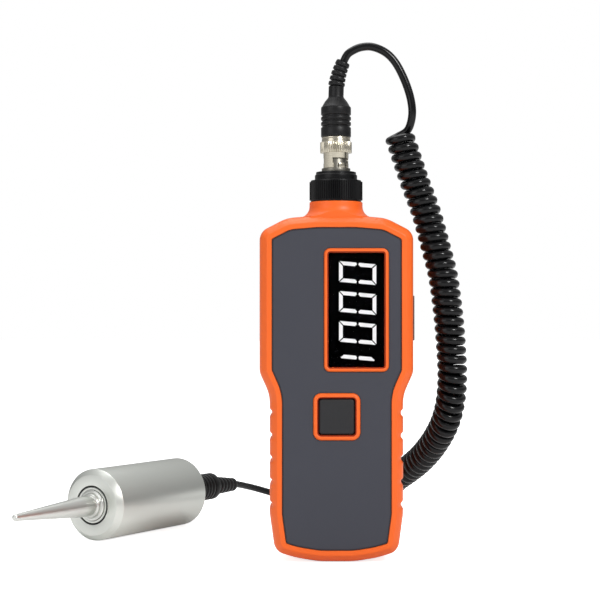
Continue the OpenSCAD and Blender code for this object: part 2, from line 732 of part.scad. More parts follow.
// A slide switch body on the board's back, open to the side where its stem comes out
module slide_switch(z, slot_h) color(nickel) difference() {
    translate([switch_x - switch_d, board_back_y, z - slot_h / 2 - switch_wall])
        cube([switch_d, 2 * (switch_y - board_back_y), slot_h + 2 * switch_wall]);
    translate([switch_x - switch_d + switch_wall, switch_y - stem_w / 2 - fit_gap, z - slot_h / 2])
        cube([switch_d, stem_w + 2 * fit_gap, slot_h]);
}
module slide_knob(z) color([0.85, 0.85, 0.83]) {
    stem_x = switch_x - switch_d + switch_wall + open_gap;
    translate([stem_x, switch_y - stem_w / 2, z - stem_h / 2])
        cube([plate_x + open_gap - stem_x, stem_w, stem_h]);
    translate([plate_x + fit_gap, switch_y - knob_w / 2, z - knob_h / 2])
        cube([plate_top_x - knob_sink - plate_x - fit_gap, knob_w, knob_h]);
}
module mode_switch() slide_switch(mode_z, mode_slot_h);
module range_switch() slide_switch(range_z, range_slot_h);
module mode_knob() slide_knob(mode_z);
module range_knob() slide_knob(range_rest_z);

module battery() color([0.25, 0.28, 0.35]) {
    translate([0, battery_y + battery_t / 2, battery_z]) {
        linear_extrude(height = battery_h) rounded_rect(battery_w, battery_t, battery_edge_r);
        for (s = [[-1, terminal_r], [1, terminal_wide_r]])
            translate([s[0] * terminal_x, 0, 0]) rod(battery_h - seat_gap, terminal_h + seat_gap, s[1]);
    }
}
module battery_snap() color(soft_black) translate([0, battery_y + battery_t / 2, snap_z]) difference() {
    linear_extrude(height = snap_h) rounded_rect(battery_w - 2 * snap_wall,
        2 * (terminal_wide_r + snap_wall), battery_edge_r);
    for (s = [[-1, terminal_r], [1, terminal_wide_r]])
        translate([s[0] * terminal_x, 0, 0]) rod(-overrun, terminal_h + overrun, s[1] + fit_gap);
}

// Swept tubes
function tangent(p, i) = unit(p[min(i + 1, len(p) - 1)] - p[max(i - 1, 0)]);
function square_to(t) = unit(cross(t, abs(t.z) > 0.9 ? [1, 0, 0] : [0, 0, 1]));
function carried(n, t) = unit(n - (n * t) * t);
function normals(p) = [for (i = 0, n = square_to(tangent(p, 0)); i < len(p);
    i = i + 1, n = i < len(p) ? carried(n, tangent(p, i)) : n) n];
function tube_rings(p, r, sides) = let (ns = normals(p)) [for (i = [0:len(p) - 1])
    let (t = tangent(p, i), n = ns[i], b = cross(t, n))
    [for (k = [0:sides - 1]) let (a = -360 * k / sides) p[i] + r * (cos(a) * n + sin(a) * b)]];
function spline(p, i, t) = let (a = p[max(i - 1, 0)], b = p[i], c = p[i + 1], d = p[min(i + 2, len(p) - 1)])
    0.5 * (2 * b + (c - a) * t + (2 * a - 5 * b + 4 * c - d) * t * t + (3 * b - a - 3 * c + d) * t * t * t);
function smooth(p, steps) = concat([for (i = [0:len(p) - 2], k = [0:steps - 1]) spline(p, i, k / steps)],
    [p[len(p) - 1]]);

lead_r = 0.8;
lead_sides = 8;
lead_out = 3;
lead_rise = 6;
module battery_leads() for (s = [0, 1]) color(s == 0 ? "red" : ink_black) {
    x = -terminal_x - lead_r * 1.2 + s * lead_r * 2.4;
    out_z = tray_top_z + tray_wall;
    lofted(tube_rings(smooth([[x, seam_y, snap_z + snap_h + open_gap], [x, seam_y, out_z + lead_out],
                    [x, seam_y - lead_out, out_z + lead_rise],
                    [x, board_back_y + lead_r, out_z + 2 * lead_rise]], 4), lead_r, lead_sides));
}
module battery_door() color(orange) difference() {
    union() {
        translate([-door_half, door_y, hinge_z]) cube([2 * door_half, door_t, door_top_z - hinge_z]);
        along_x(-door_half, hinge_y, hinge_z, 2 * door_half, barrel_r);
        along_x(-door_half - hinge_pin_l, hinge_y, hinge_z, 2 * (door_half + hinge_pin_l), hinge_pin_r);
    }
    translate([0, back_y + thumb_r - grip_rib_d * 2, door_top_z]) rotate([90, 0, 0]) sphere(r = thumb_r);
    for (i = [1:grip_rib_count])
        translate([-thumb_r, back_y - grip_rib_d, door_top_z - thumb_r / 2 - i * grip_rib_pitch])
            cube([2 * thumb_r, body_t, grip_rib_w]);
}

// Connector on the neck
socket_r = 4.7;
washer_t = 0.8;
washer_r = 7.4;
nut_r = 7;
nut_h = 2.6;
flange_r = 6.4;
socket_flange_h = 1.6;
lock_top_z = neck_top_z + lock_h;
adapter_top_z = lock_top_z + adapter_h;
socket_flange_z = adapter_top_z + socket_flange_h;
socket_top_z = socket_flange_z + socket_h;
socket_inner_r = 4.1;
socket_floor_z = socket_flange_z - seat_gap;
lug_r = 1;
lug_reach = 0.65;
lug_rise = 3.4;
lug_z = socket_flange_z + lug_rise;
adapter_core_r = 8.1;
insulator_r = 2.2;
contact_r = 1.2;
pin_r = 0.68;
pin_bore_r = 0.75;
roof_z = neck_top_z - neck_roof;
socket_end = 1.2;
socket_end_z = roof_z - washer_t - nut_h - socket_end;
module socket_hole() { rod(neck_root_z, body_t, socket_r + fit_gap); }
module socket_body() color(nickel) {
    difference() {
        union() {
            rod(socket_end_z, adapter_top_z - socket_end_z + seat_gap, socket_r);
            rod(adapter_top_z, socket_flange_h, flange_r);
            rod(adapter_top_z, socket_h + socket_flange_h, barrel_socket_r);
            for (a = [0, 180]) rotate([0, 0, a]) along_x(0, 0, lug_z, barrel_socket_r + lug_reach, lug_r);
        }
        rod(socket_floor_z, socket_h + overrun, socket_inner_r);
        rod(socket_end_z - overrun, body_t, insulator_r + seat_gap);
    }
}
module socket_insulator() color("white")
    tube_of(socket_end_z, socket_top_z - socket_end_z - barrel_socket_r / 2, insulator_r,
        contact_r + seat_gap);
module socket_contact() color([0.85, 0.68, 0.3]) difference() {
    rod(socket_end_z - contact_r, socket_top_z - socket_end_z - barrel_socket_r / 2, contact_r);
    rod(socket_flange_z, socket_h, pin_bore_r);
}
module socket_washer() color(nickel) tube_of(roof_z - washer_t, washer_t, washer_r, socket_r + fit_gap);
module socket_nut() color(nickel) difference() {
    translate([0, 0, roof_z - washer_t - nut_h]) cylinder(h = nut_h, r = nut_r, $fn = 6);
    rod(socket_end_z, body_t, socket_r + seat_gap);
}
signal_r = 1.1;
module signal_lead() color(ink_black)
    lofted(tube_rings(smooth([[0, 0, socket_end_z - contact_r - open_gap],
                    [0, 0, socket_end_z - contact_r - 2 * signal_r],
                    [0, board_back_y + 2 * signal_r, board_top_z + signal_r],
                    [0, board_back_y + signal_r, board_top_z - 2 * signal_r]], 4), signal_r, lead_sides));
module adapter_ring() color(soft_black) difference() {
    union() {
        rod(neck_top_z, lock_h + seat_gap, adapter_core_r);
        rod(lock_top_z, adapter_h, adapter_r);
    }
    rod(neck_top_z - overrun, body_t, socket_r + seat_gap);
}
lock_teeth = 72;
tooth_d = 0.35;
lock_bevel = 0.5;
module lock_ring() color(ink_black) difference() {
    union() {
        translate([0, 0, neck_top_z + open_gap / 2 + lock_bevel])
            linear_extrude(height = lock_h - open_gap - 2 * lock_bevel)
                polygon(toothed(lock_teeth, lock_r, tooth_d));
        rod(neck_top_z + open_gap / 2, lock_h - open_gap, lock_r - tooth_d - lock_bevel / 2);
    }
    rod(neck_top_z - overrun, lock_h + 2 * overrun, adapter_core_r + running_gap);
}

// Bayonet sleeve: a tube with two slots, and its knurled ring
sleeve_z = socket_flange_z + fit_gap;
sleeve_top_z = socket_top_z;
knurl_top_z = sleeve_top_z + knurl_h;
sleeve_gap = 0.2;
sleeve_bore_r = barrel_socket_r + sleeve_gap;
slot_sweep = 90;
slot_half = lug_r + fit_gap;
slot_margin = 17;
knurl_teeth = 40;
knurl_d = 0.4;
knurl_bevel = 1.6;
module sleeve_slot() {
    rotate([0, 0, -slot_sweep]) translate([0, -slot_half, sleeve_z - overrun])
        cube([body_w, 2 * slot_half, lug_z - sleeve_z + overrun]);
    translate([0, 0, lug_z - slot_half]) rotate([0, 0, -slot_sweep - slot_margin])
        rotate_extrude(angle = slot_sweep + 2 * slot_margin)
            translate([sleeve_bore_r / 2, 0]) square([sleeve_r, 2 * slot_half]);
}
module bayonet_sleeve() color(nickel) difference() {
    union() {
        rod(sleeve_z, sleeve_top_z - sleeve_z + seat_gap, sleeve_r);
        translate([0, 0, sleeve_top_z]) linear_extrude(height = knurl_h - knurl_bevel)
            polygon(toothed(knurl_teeth, knurl_r, knurl_d));
        translate([0, 0, knurl_top_z - knurl_bevel])
            cylinder(h = knurl_bevel, r1 = knurl_r - 1.5 * knurl_d, r2 = boot_r - knurl_d);
    }
    rod(sleeve_z - overrun, body_t, sleeve_bore_r);
    for (a = [0, 180]) rotate([0, 0, a]) sleeve_slot();
}
collet_r = socket_inner_r - seat_gap;
collet_bore_r = 3.5;
collar_h = 0.7;
boot_z = knurl_top_z + collar_h;
module plug_body() color(nickel) difference() {
    union() {
        rod(socket_flange_z + open_gap, socket_h, collet_r);
        rod(socket_top_z + fit_gap, knurl_h + collar_h - fit_gap, sleeve_bore_r - running_gap);
        rod(knurl_top_z + seat_gap, collar_h - seat_gap, boot_r - open_gap);
    }
    rod(socket_flange_z - overrun, socket_h + overrun, collet_bore_r);
    rod(socket_flange_z, body_t, insulator_r + seat_gap);
}
module plug_insulator() color("white")
    tube_of(socket_flange_z + open_gap + seat_gap, socket_h - 2 * open_gap, collet_bore_r - seat_gap,
        insulator_r + fit_gap);
module plug_pin() color([0.85, 0.68, 0.3]) {
    rod(socket_flange_z + 2 * open_gap, boot_z - socket_flange_z - 2 * open_gap, pin_r);
    rod(socket_top_z + fit_gap, boot_z - socket_top_z - fit_gap, insulator_r);
}

// Moulded boots: a profile of radius over height, with grooves and a stepped relief
groove_w = 1;
groove_d = 0.4;
boot_cone_h = 4;
boot_neck_r = 3.4;
boot_neck_h = 4.9;
boot_groove_shares = [0.35, 0.52, 0.69];
relief_h = 11.6;
relief_r = 3.7;
relief_end_r = 3.15;
relief_groove_r = 2.6;
relief_rings = 5;
function groove_points(h, r, shares) = [for (s = shares) each [[r, h * s - groove_w / 2],
    [r - groove_d, h * s - groove_w / 4], [r - groove_d, h * s + groove_w / 4], [r, h * s + groove_w / 2]]];
function relief_points(length, r0, r1, rings) =
    [for (i = [0:rings - 1]) let (p = length / rings, r = r0 + (r1 - r0) * i / rings)
        each [[relief_groove_r, p * i], [r, p * (i + 0.15)], [r, p * (i + 0.75)],
            [relief_groove_r, p * (i + 0.9)]]];
module boot_shape() {
    rotate_extrude() polygon(concat([[0, 0], [boot_r - groove_d, 0], [boot_r, groove_d]],
        groove_points(boot_h, boot_r, boot_groove_shares), [[boot_r, boot_h - groove_d],
            [boot_r - groove_d, boot_h], [boot_neck_r + groove_d, boot_h + boot_cone_h],
            [boot_neck_r, boot_h + boot_cone_h + groove_d], [boot_neck_r, boot_h + boot_cone_h + boot_neck_h],
            [0, boot_h + boot_cone_h + boot_neck_h]]));
}
module relief_shape(length, r0, r1, rings) {
    rotate_extrude() polygon(concat([[0, 0]], relief_points(length, r0, r1, rings),
        [[r1, length], [0, length]]));
}
relief_z = boot_z + boot_h + boot_cone_h + boot_neck_h;
module plug_boot() color(ink_black) {
    translate([0, 0, boot_z]) boot_shape();
    translate([0, 0, relief_z - relief_groove_r / 2]) rotate([0, relief_lean, 0])
        relief_shape(relief_h + relief_groove_r / 2, relief_r, relief_end_r, relief_rings);
}

// Cord: the arc above the plug, the curled length and the tail to the probe
arc_route = [[5.5, 0, 225], [10.5, 0, 228], [16, 0, 228.5], [22, 0, 226], [26.5, 0, 221.5],
    [30.5, 0, 214.5], [33, 0, 207]];
axis_route = [[33.3, 0, 195], [31.8, 0, 190], [30.8, 0, 184.5], [31.2, 0, 179], [32.7, 0, 173],
    [35, 0, 168], [38.3, 0, 160], [41, 0, 152], [44.4, 0, 139.5], [47.8, 0, 126], [50.1, 0, 109],
    [51.4, 1, 95], [52.2, 3, 81], [51.8, 7, 70], [50.3, 13, 61], [47.8, 21, 53.5], [44.5, 31, 46],
    [40.7, 41, 38.5], [36.5, 51, 31], [31, 62, 23.5], [25, 72, 16.5], [18, 81, 11], [11, 89, 8.5],
    [4, 97, 7.5], [-1, 103, 5.5]];
tail_route = [[-8, 115, 2.2], [-11, 128, 2], [-13, 142, 2], [-13, 156, 2], [-14, 169, 2.6],
    [-18, 178, 4], [-26, 183, 6], [-35, 181, 8.5], [-43, 174, 11]];
axis_steps = 12;
curl_points = 8;
curl_sides = 6;
arc_sides = 8;
// Length over which the curls grow to their full radius, and how much wider they are spaced there
ramp_l = 11;
ramp_stretch = 1.3;
most_bend_share = 0.3;
relief_turn = [sin(relief_lean), 0, cos(relief_lean)];
arc_start = [0, 0, relief_z - relief_groove_r / 2] + (relief_h + relief_groove_r / 2) * relief_turn;

function summed(list) =
    [for (i = 0, s = 0; i <= len(list); s = s + (i < len(list) ? list[i] : 0), i = i + 1) s];
axis_points = smooth(axis_route, axis_steps);
axis_n = len(axis_points);
coil_first = -tangent(axis_points, 0);
coil_last = tangent(axis_points, axis_n - 1);
coil_start = axis_points[0] + cord_d * coil_first;
coil_end = axis_points[axis_n - 1] + cord_d * coil_last;
axis_normals = normals(axis_points);
axis_run = summed([for (i = [0:axis_n - 2]) norm(axis_points[i + 1] - axis_points[i])]);
axis_l = axis_run[axis_n - 1];
function bend_at(i) = i < 1 || i > axis_n - 2 ? 0 :
    norm(tangent(axis_points, i + 1) - tangent(axis_points, i - 1))
    / norm(axis_points[min(i + 1, axis_n - 1)] - axis_points[max(i - 1, 0)]) / 2;
function eased(t) = let (c = min(max(t, 0), 1)) c * c * (3 - 2 * c);
function ramp_at(run) = eased(run / ramp_l) * eased((axis_l - run) / ramp_l);
function pitch_at(i) = (cord_d + curl_gap) / (1 - min(curl_r * bend_at(i), most_bend_share))
    * (1 + ramp_stretch * (1 - ramp_at(axis_run[i])));
axis_turn = summed([for (i = [0:axis_n - 2]) 360 * (axis_run[i + 1] - axis_run[i]) / pitch_at(i)]);
all_turn = axis_turn[axis_n - 1];
curl_steps = floor(all_turn / 360 * curl_points);
run_keys = [for (i = [0:axis_n - 1]) [axis_turn[i], axis_run[i]]];
axis_keys = [for (k = [0:2]) [for (i = [0:axis_n - 1]) [axis_turn[i], axis_points[i][k]]]];
normal_keys = [for (k = [0:2]) [for (i = [0:axis_n - 1]) [axis_turn[i], axis_normals[i][k]]]];
function found(a, keys) = [lookup(a, keys[0]), lookup(a, keys[1]), lookup(a, keys[2])];
function curl_at(a) =
    let (p = found(a, axis_keys), t = unit(found(a + 10, axis_keys) - found(a - 10, axis_keys)),
        n = carried(found(a, normal_keys), t), r = curl_r * ramp_at(lookup(a, run_keys)))
    p + r * (cos(a) * n + sin(a) * cross(t, n));
coil_points = concat([coil_start, axis_points[0]],
    [for (i = [1:curl_steps - 1]) curl_at(i * 360 / curl_points)], [axis_points[axis_n - 1], coil_end]);
coil_run = summed([for (i = [1:len(coil_points) - 1]) norm(coil_points[i] - coil_points[i - 1])]);
coil_n = len(coil_points);
near_gap = min([for (i = [0:coil_n - 1], j = [i + 1:i + 3 * curl_points])
    if (j < coil_n && coil_run[j] - coil_run[i] > 2 * cord_d) norm(coil_points[i] - coil_points[j])])
    - cord_d;
function run_length(p) = let (s = summed([for (i = [1:len(p) - 1]) norm(p[i] - p[i - 1])])) s[len(s) - 1];
arc_points = concat([arc_start, arc_start + cord_d * relief_turn], smooth(arc_route, 2),
    [coil_start + cord_d * coil_first, coil_start]);

module cord_arc() color(ink_black) lofted(tube_rings(arc_points, cord_d / 2, arc_sides));
module cord_coil() color(ink_black) lofted(tube_rings(coil_points, cord_d / 2, curl_sides));
module cord_tail() color(ink_black) lofted(tube_rings(tail_points, cord_d / 2, arc_sides));

// Probe frame: local Z runs from the case's front face towards the tip
probe_face = [-116, 54, case_r];
probe_turn = 239;
module in_probe() { translate(probe_face) rotate([0, 90, probe_turn]) children(); }
front_wall = 7;
case_bore_r = case_r - case_wall;
collar_groove_w = 0.8;
collar_groove_d = 1.2;
collar_ring_r = 9;
collar_seat_d = 2.2;
stud_r = 2.5;
cap_t = 6;
cap_inset = 0.4;
rear_bevel = 0.8;
socket_seat_r = 5.5;
base_r = 11.5;
base_h = 6;
piezo_r = 8;
piezo_t = 1.5;
piezo_bore_r = 2.6;
electrode_t = 0.4;
mass_r = 9.5;
mass_h = 14;
preload_r = 2.2;
preload_head_r = 4.2;
preload_head_h = 3.2;
module probe_case() color(satin) in_probe() difference() {
    rotate_extrude() polygon([[0, -case_l], [case_r - rear_bevel, -case_l], [case_r, rear_bevel - case_l],
            [case_r, -case_chamfer], [case_r - case_chamfer, 0], [0, 0]]);
    rod(-case_l - overrun, case_l - front_wall + overrun, case_bore_r);
    rod(-collar_seat_d, collar_seat_d + overrun, collar_r + fit_gap);
    difference() {
        rod(-collar_groove_d, collar_groove_d + overrun, collar_ring_r + collar_groove_w / 2);
        rod(-front_wall, body_t, collar_ring_r - collar_groove_w / 2);
    }
    rod(-front_wall - overrun, front_wall + 2 * overrun, stud_r + seat_gap);
}
module probe_rear_cap() color(satin) in_probe() difference() {
    rod(cap_inset - case_l, cap_t, case_bore_r - seat_gap);
    rod(-case_l - overrun, cap_t + 2 * overrun, socket_seat_r + seat_gap);
}
base_z = -front_wall - base_h;
piezo_top = base_z;
electrode_z = piezo_top - piezo_t - electrode_t;
piezo_low = electrode_z - piezo_t;
mass_z = piezo_low - mass_h;
module probe_base() color(nickel) in_probe() difference() {
    rod(base_z, base_h, base_r);
    rod(base_z - overrun, base_h + 2 * overrun, stud_r + seat_gap);
}
module piezo_discs() color([0.9, 0.88, 0.8]) in_probe() {
    tube_of(piezo_top - piezo_t, piezo_t, piezo_r, piezo_bore_r);
    tube_of(piezo_low, piezo_t, piezo_r, piezo_bore_r);
}
module electrode_disc() color([0.85, 0.68, 0.3]) in_probe()
    tube_of(electrode_z, electrode_t, piezo_r, piezo_bore_r);
module seismic_mass() color([0.5, 0.5, 0.52]) in_probe() tube_of(mass_z, mass_h, mass_r, piezo_bore_r);
module preload_screw() color(nickel) in_probe() difference() {
    union() {
        rod(mass_z, piezo_top - mass_z + base_h / 3, preload_r);
        rod(mass_z - preload_head_h, preload_head_h, preload_head_r);
    }
    translate([0, 0, mass_z - preload_head_h - overrun])
        cylinder(h = preload_head_h / 2 + overrun, r = preload_head_r / 2, $fn = 6);
}

// Collar and tip
collar_step_h = 1.6;
collar_h_front = 1;
collar_step_r = 5.8;
tip_root_l = 7;
tip_socket_d = 3;
module probe_collar() color(nickel) in_probe() difference() {
    rotate_extrude() polygon([[0, -collar_seat_d], [collar_r, -collar_seat_d], [collar_r, collar_h_front / 2],
            [collar_r - collar_h_front, collar_h_front], [collar_step_r, collar_h_front],
            [collar_step_r, collar_h_front + collar_step_h / 2],
            [collar_step_r - collar_step_h / 2, collar_h_front + collar_step_h],
            [0, collar_h_front + collar_step_h]]);
    rod(-collar_seat_d - overrun, body_t, stud_r + seat_gap);
}
tip_z = collar_h_front + collar_step_h;
tip_bevel = 0.3;
module probe_tip() color(satin) in_probe() {
    rotate_extrude() polygon(concat([[0, tip_z], [tip_r - tip_bevel, tip_z], [tip_r, tip_z + tip_bevel],
            [tip_r, tip_z + tip_root_l]],
        [for (i = [0:6]) let (a = 8 + 82 * i / 6) [0, tip_l - tip_end_r] + tip_end_r * [cos(a), sin(a)]]));
    rod(base_z + base_h / 2, tip_z - base_z - base_h / 2 + seat_gap, stud_r);
}

// Rear socket, plug and the lead inside the probe
probe_socket_h = 3;
probe_socket_l = 9;
probe_socket_rim_r = 7.4;
probe_pin_r = 0.5;
probe_pin_ring = 1.8;
probe_pin_count = 3;
probe_pin_l = 5;
probe_boot_r = 7;
probe_boot_l = 27;
probe_boot_end_r = 5.4;
probe_ring_l = 2.2;
probe_ring_r = 7.9;
probe_relief_l = 21;
probe_relief_r = 5;
probe_relief_end_r = 3.4;
probe_relief_rings = 6;
probe_relief_lean = 9;
probe_back = -case_l;
module probe_socket() color(nickel) in_probe() difference() {
    union() {
        rod(probe_back - probe_socket_h, probe_socket_h, probe_socket_rim_r);
        rod(probe_back - seat_gap, probe_socket_l, socket_seat_r);
    }
    for (i = [1:probe_pin_count]) rotate([0, 0, i * 360 / probe_pin_count]) translate([probe_pin_ring, 0, 0])
        rod(probe_back - probe_socket_h - overrun, probe_pin_l + overrun, probe_pin_r + fit_gap);
}
plug_back = probe_back - probe_socket_h;
module probe_plug_pins() color([0.85, 0.68, 0.3]) in_probe()
    for (i = [1:probe_pin_count]) rotate([0, 0, i * 360 / probe_pin_count]) translate([probe_pin_ring, 0, 0])
        rod(plug_back - seat_gap, probe_pin_l - open_gap, probe_pin_r);
probe_rib_shares = [0.4, 0.5, 0.6, 0.7, 0.8];
module probe_plug() color(ink_black) in_probe() translate([0, 0, plug_back]) rotate([180, 0, 0]) {
    rotate_extrude() polygon(concat([[0, seat_gap], [probe_ring_r, seat_gap], [probe_ring_r, probe_ring_l],
            [probe_boot_r, probe_ring_l]],
        groove_points(probe_boot_l, probe_boot_r, probe_rib_shares),
        [[probe_boot_r, probe_boot_l - groove_w], [probe_boot_end_r, probe_boot_l + groove_w],
            [0, probe_boot_l + groove_w]]));
    translate([0, 0, probe_boot_l]) rotate([0, probe_relief_lean, 0])
        relief_shape(probe_relief_l, probe_relief_r, probe_relief_end_r, probe_relief_rings);
}
probe_dir = [cos(probe_turn), sin(probe_turn), 0];
relief_drop = -cos(probe_relief_lean) * probe_dir - [0, 0, sin(probe_relief_lean)];
tail_end = probe_face + probe_dir * (plug_back - probe_boot_l) + relief_drop * probe_relief_l;
tail_points = concat([coil_end, coil_end + cord_d * coil_last], smooth(tail_route, 2),
    [tail_end + cord_d * relief_drop, tail_end]);
arc_l = run_length(arc_points);
coil_l = coil_run[coil_n - 1];
tail_l = run_length(tail_points);
echo(curls = curl_steps / curl_points, cord_length = arc_l + coil_l + tail_l, least_gap = near_gap);
echo(arc_start = arc_start, coil_start = coil_start, coil_end = coil_end, tail_end = tail_end);
probe_lead_r = 0.7;
lead_side = mass_r + probe_lead_r + open_gap;
module probe_lead() color("red") in_probe()
    lofted(tube_rings(smooth([[piezo_r + open_gap, 0, electrode_z + electrode_t / 2],
                    [lead_side, 0, electrode_z + electrode_t / 2], [lead_side, 0, mass_z],
                    [probe_pin_ring, 0, (mass_z - preload_head_h + probe_back + probe_socket_l) / 2],
                    [probe_pin_ring, 0, probe_back + probe_socket_l + open_gap]], 3),
        probe_lead_r, lead_sides));

front_shell();
rear_shell();
front_panel();
display_window();
lcd_module();
lcd_digits();
lcd_holder();
contact_strips();
main_board();
board_parts();
board_shield();
board_screws();
measure_button();
button_plunger();
button_switch();
switch_plate();
mode_switch();
mode_knob();
range_switch();
range_knob();
battery();
battery_snap();
battery_leads();
battery_door();
housing_screws();
socket_body();
socket_insulator();
socket_contact();
socket_washer();
socket_nut();
signal_lead();
adapter_ring();
lock_ring();
bayonet_sleeve();
plug_body();
plug_insulator();
plug_pin();
plug_boot();
cord_arc();
cord_coil();
cord_tail();
probe_plug();
probe_plug_pins();
probe_socket();
probe_case();
probe_rear_cap();
probe_base();
piezo_discs();
electrode_disc();
seismic_mass();
preload_screw();
probe_lead();
probe_collar();
probe_tip();
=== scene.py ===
"""Handheld vibration meter with its curly cord and measuring probe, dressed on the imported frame.

Sizes are in millimetres in the classes and become metres where a mesh is made. X points to the right,
Y to the back and Z up; the origin is the centre of the meter's foot.
"""

from __future__ import annotations

import json
import logging
import math
from dataclasses import dataclass, field
from enum import Enum
from typing import Sequence

import bmesh
import bpy
from mathutils import Matrix, Vector

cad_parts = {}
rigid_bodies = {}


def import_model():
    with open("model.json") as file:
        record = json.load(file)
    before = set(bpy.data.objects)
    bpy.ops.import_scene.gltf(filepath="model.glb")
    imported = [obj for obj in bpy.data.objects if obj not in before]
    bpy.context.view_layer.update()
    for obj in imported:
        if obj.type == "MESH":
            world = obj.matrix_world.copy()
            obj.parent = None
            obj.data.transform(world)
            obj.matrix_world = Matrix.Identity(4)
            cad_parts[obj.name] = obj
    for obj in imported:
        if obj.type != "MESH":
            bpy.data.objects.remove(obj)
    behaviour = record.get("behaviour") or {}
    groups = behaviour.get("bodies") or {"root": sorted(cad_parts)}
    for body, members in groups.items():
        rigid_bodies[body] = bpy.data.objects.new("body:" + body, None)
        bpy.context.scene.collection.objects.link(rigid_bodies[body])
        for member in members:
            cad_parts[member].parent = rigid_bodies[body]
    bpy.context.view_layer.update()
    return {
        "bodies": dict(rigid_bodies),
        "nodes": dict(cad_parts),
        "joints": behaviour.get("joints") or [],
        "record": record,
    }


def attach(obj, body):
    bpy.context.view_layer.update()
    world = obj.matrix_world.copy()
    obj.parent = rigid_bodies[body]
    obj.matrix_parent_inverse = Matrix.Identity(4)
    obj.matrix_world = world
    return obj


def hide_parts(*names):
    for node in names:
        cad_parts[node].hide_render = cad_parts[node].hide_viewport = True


LOG = logging.getLogger("vibration_meter")
MM = 0.001
WHITE = (1.0, 1.0, 1.0, 1.0)
Flat = tuple[float, float]
Point = tuple[float, float, float]


class Join(Enum):
    """How one solid changes another."""

    ADD = "UNION"
    CUT = "DIFFERENCE"
    KEEP = "INTERSECT"


class Lay(Enum):
    """Which coordinates a turned surface's fine rings follow."""

    MOULDED = "moulded"
    TURNED = "turned"


# ---- Meshes


def link(name: str, mesh: bpy.types.Mesh) -> bpy.types.Object:
    """Puts a mesh into the scene.

    Args:
        name: the piece's name.
        mesh: its mesh, in metres and in place.

    Returns:
        The new object, at the origin.
    """
    mesh.name = name
    piece = bpy.data.objects.new(name, mesh)
    bpy.context.scene.collection.objects.link(piece)
    return piece


def shade(piece: bpy.types.Object, angle: float = 32.0) -> None:
    """Shades a piece smooth, apart from its sharp edges.

    Args:
        piece: the piece.
        angle: the angle, in degrees, from which an edge is sharp.
    """
    mesh = piece.data
    mesh.polygons.foreach_set("use_smooth", [True] * len(mesh.polygons))
    mesh.set_sharp_from_angle(angle=math.radians(angle))
    mesh.update()


def built(name: str, points: Sequence[Sequence[float]], faces: Sequence[Sequence[int]],
          place: Matrix | None = None, angle: float = 32.0) -> bpy.types.Object:
    """Makes a closed piece from points in millimetres.

    Args:
        name: the piece's name.
        points: the corners.
        faces: the corner numbers of each face.
        place: turns and moves the points, in millimetres.
        angle: the angle, in degrees, from which an edge is sharp.

    Returns:
        The new object, its normals outwards.
    """
    where = place if place is not None else Matrix.Identity(4)
    mesh = bpy.data.meshes.new(name)
    mesh.from_pydata([(where @ Vector(p)) * MM for p in points], [], faces)
    work = bmesh.new()
    work.from_mesh(mesh)
    bmesh.ops.remove_doubles(work, verts=work.verts, dist=2e-7)
    bmesh.ops.dissolve_degenerate(work, edges=work.edges, dist=1e-7)
    bmesh.ops.recalc_face_normals(work, faces=work.faces)
    work.to_mesh(mesh)
    work.free()
    piece = link(name, mesh)
    shade(piece, angle)
    return piece


def lofted(name: str, rings: Sequence[Sequence[Sequence[float]]], closed: bool = False,
           place: Matrix | None = None, angle: float = 32.0) -> bpy.types.Object:
    """Makes a skin through rings of equal length.

    Args:
        name: the piece's name.
        rings: rings of points in millimetres.
        closed: whether the last ring joins the first; otherwise both ends get a flat face.
        place: turns and moves the points.
        angle: the angle, in degrees, from which an edge is sharp.

    Returns:
        The new object.
    """
    n, m = len(rings[0]), len(rings)
    faces: list[list[int]] = [
        [j * n + i, j * n + (i + 1) % n, (j + 1) % m * n + (i + 1) % n, (j + 1) % m * n + i]
        for j in range(m if closed else m - 1) for i in range(n)]
    if not closed:
        faces += [list(range(n))[::-1], [(m - 1) * n + i for i in range(n)]]
    return built(name, [p for ring in rings for p in ring], faces, place, angle)


def turned(name: str, profile: Sequence[Flat], place: Matrix | None = None, steps: int = 96,
           closed: bool = False, angle: float = 32.0) -> bpy.types.Object:
    """Turns a profile of (radius, height) round the Z axis.

    Args:
        name: the piece's name.
        profile: the points from the low end to the high one; an open one has its ends closed by flat faces.
        place: turns and moves the result, in millimetres.
        steps: the number of steps round the axis.
        closed: whether the profile is a closed loop, as for a ring.
        angle: the angle, in degrees, from which an edge is sharp.

    Returns:
        The new object.
    """
    turns = [2 * math.pi * k / steps for k in range(steps)]
    rings = [[(max(r, 1e-4) * math.cos(a), max(r, 1e-4) * math.sin(a), z) for a in turns] for r, z in profile]
    return lofted(name, rings, closed, place, angle)


def rounded(profile: Sequence[Flat], radius: float, steps: int = 3, closed: bool = False) -> list[Flat]:
    """Rounds the inner corners of a profile.

    Args:
        profile: the corners.
        radius: the largest rounding radius; a short side gets a smaller one.
        steps: the number of steps in each rounding.
        closed: whether the profile is a closed loop.

    Returns:
        The rounded profile.
    """
    points = [Vector(p) for p in profile]
    count = len(points)
    out: list[Flat] = []
    for i, corner in enumerate(points):
        if not closed and i in (0, count - 1):
            out.append(tuple(corner))
            continue
        before, after = points[i - 1] - corner, points[(i + 1) % count] - corner
        reach = min(radius, before.length * 0.45, after.length * 0.45)
        start, end = corner + before.normalized() * reach, corner + after.normalized() * reach
        for k in range(steps + 1):
            t = k / steps
            out.append(tuple((1 - t) ** 2 * start + 2 * t * (1 - t) * corner + t ** 2 * end))
    return out


def turned_ring(name: str, corners: Sequence[Flat], radius: float, place: Matrix | None = None,
                steps: int = 96) -> bpy.types.Object:
    """A turned ring from a closed loop of corners, with its edges rounded."""
    return turned(name, rounded(corners, radius, closed=True), place, steps, closed=True)


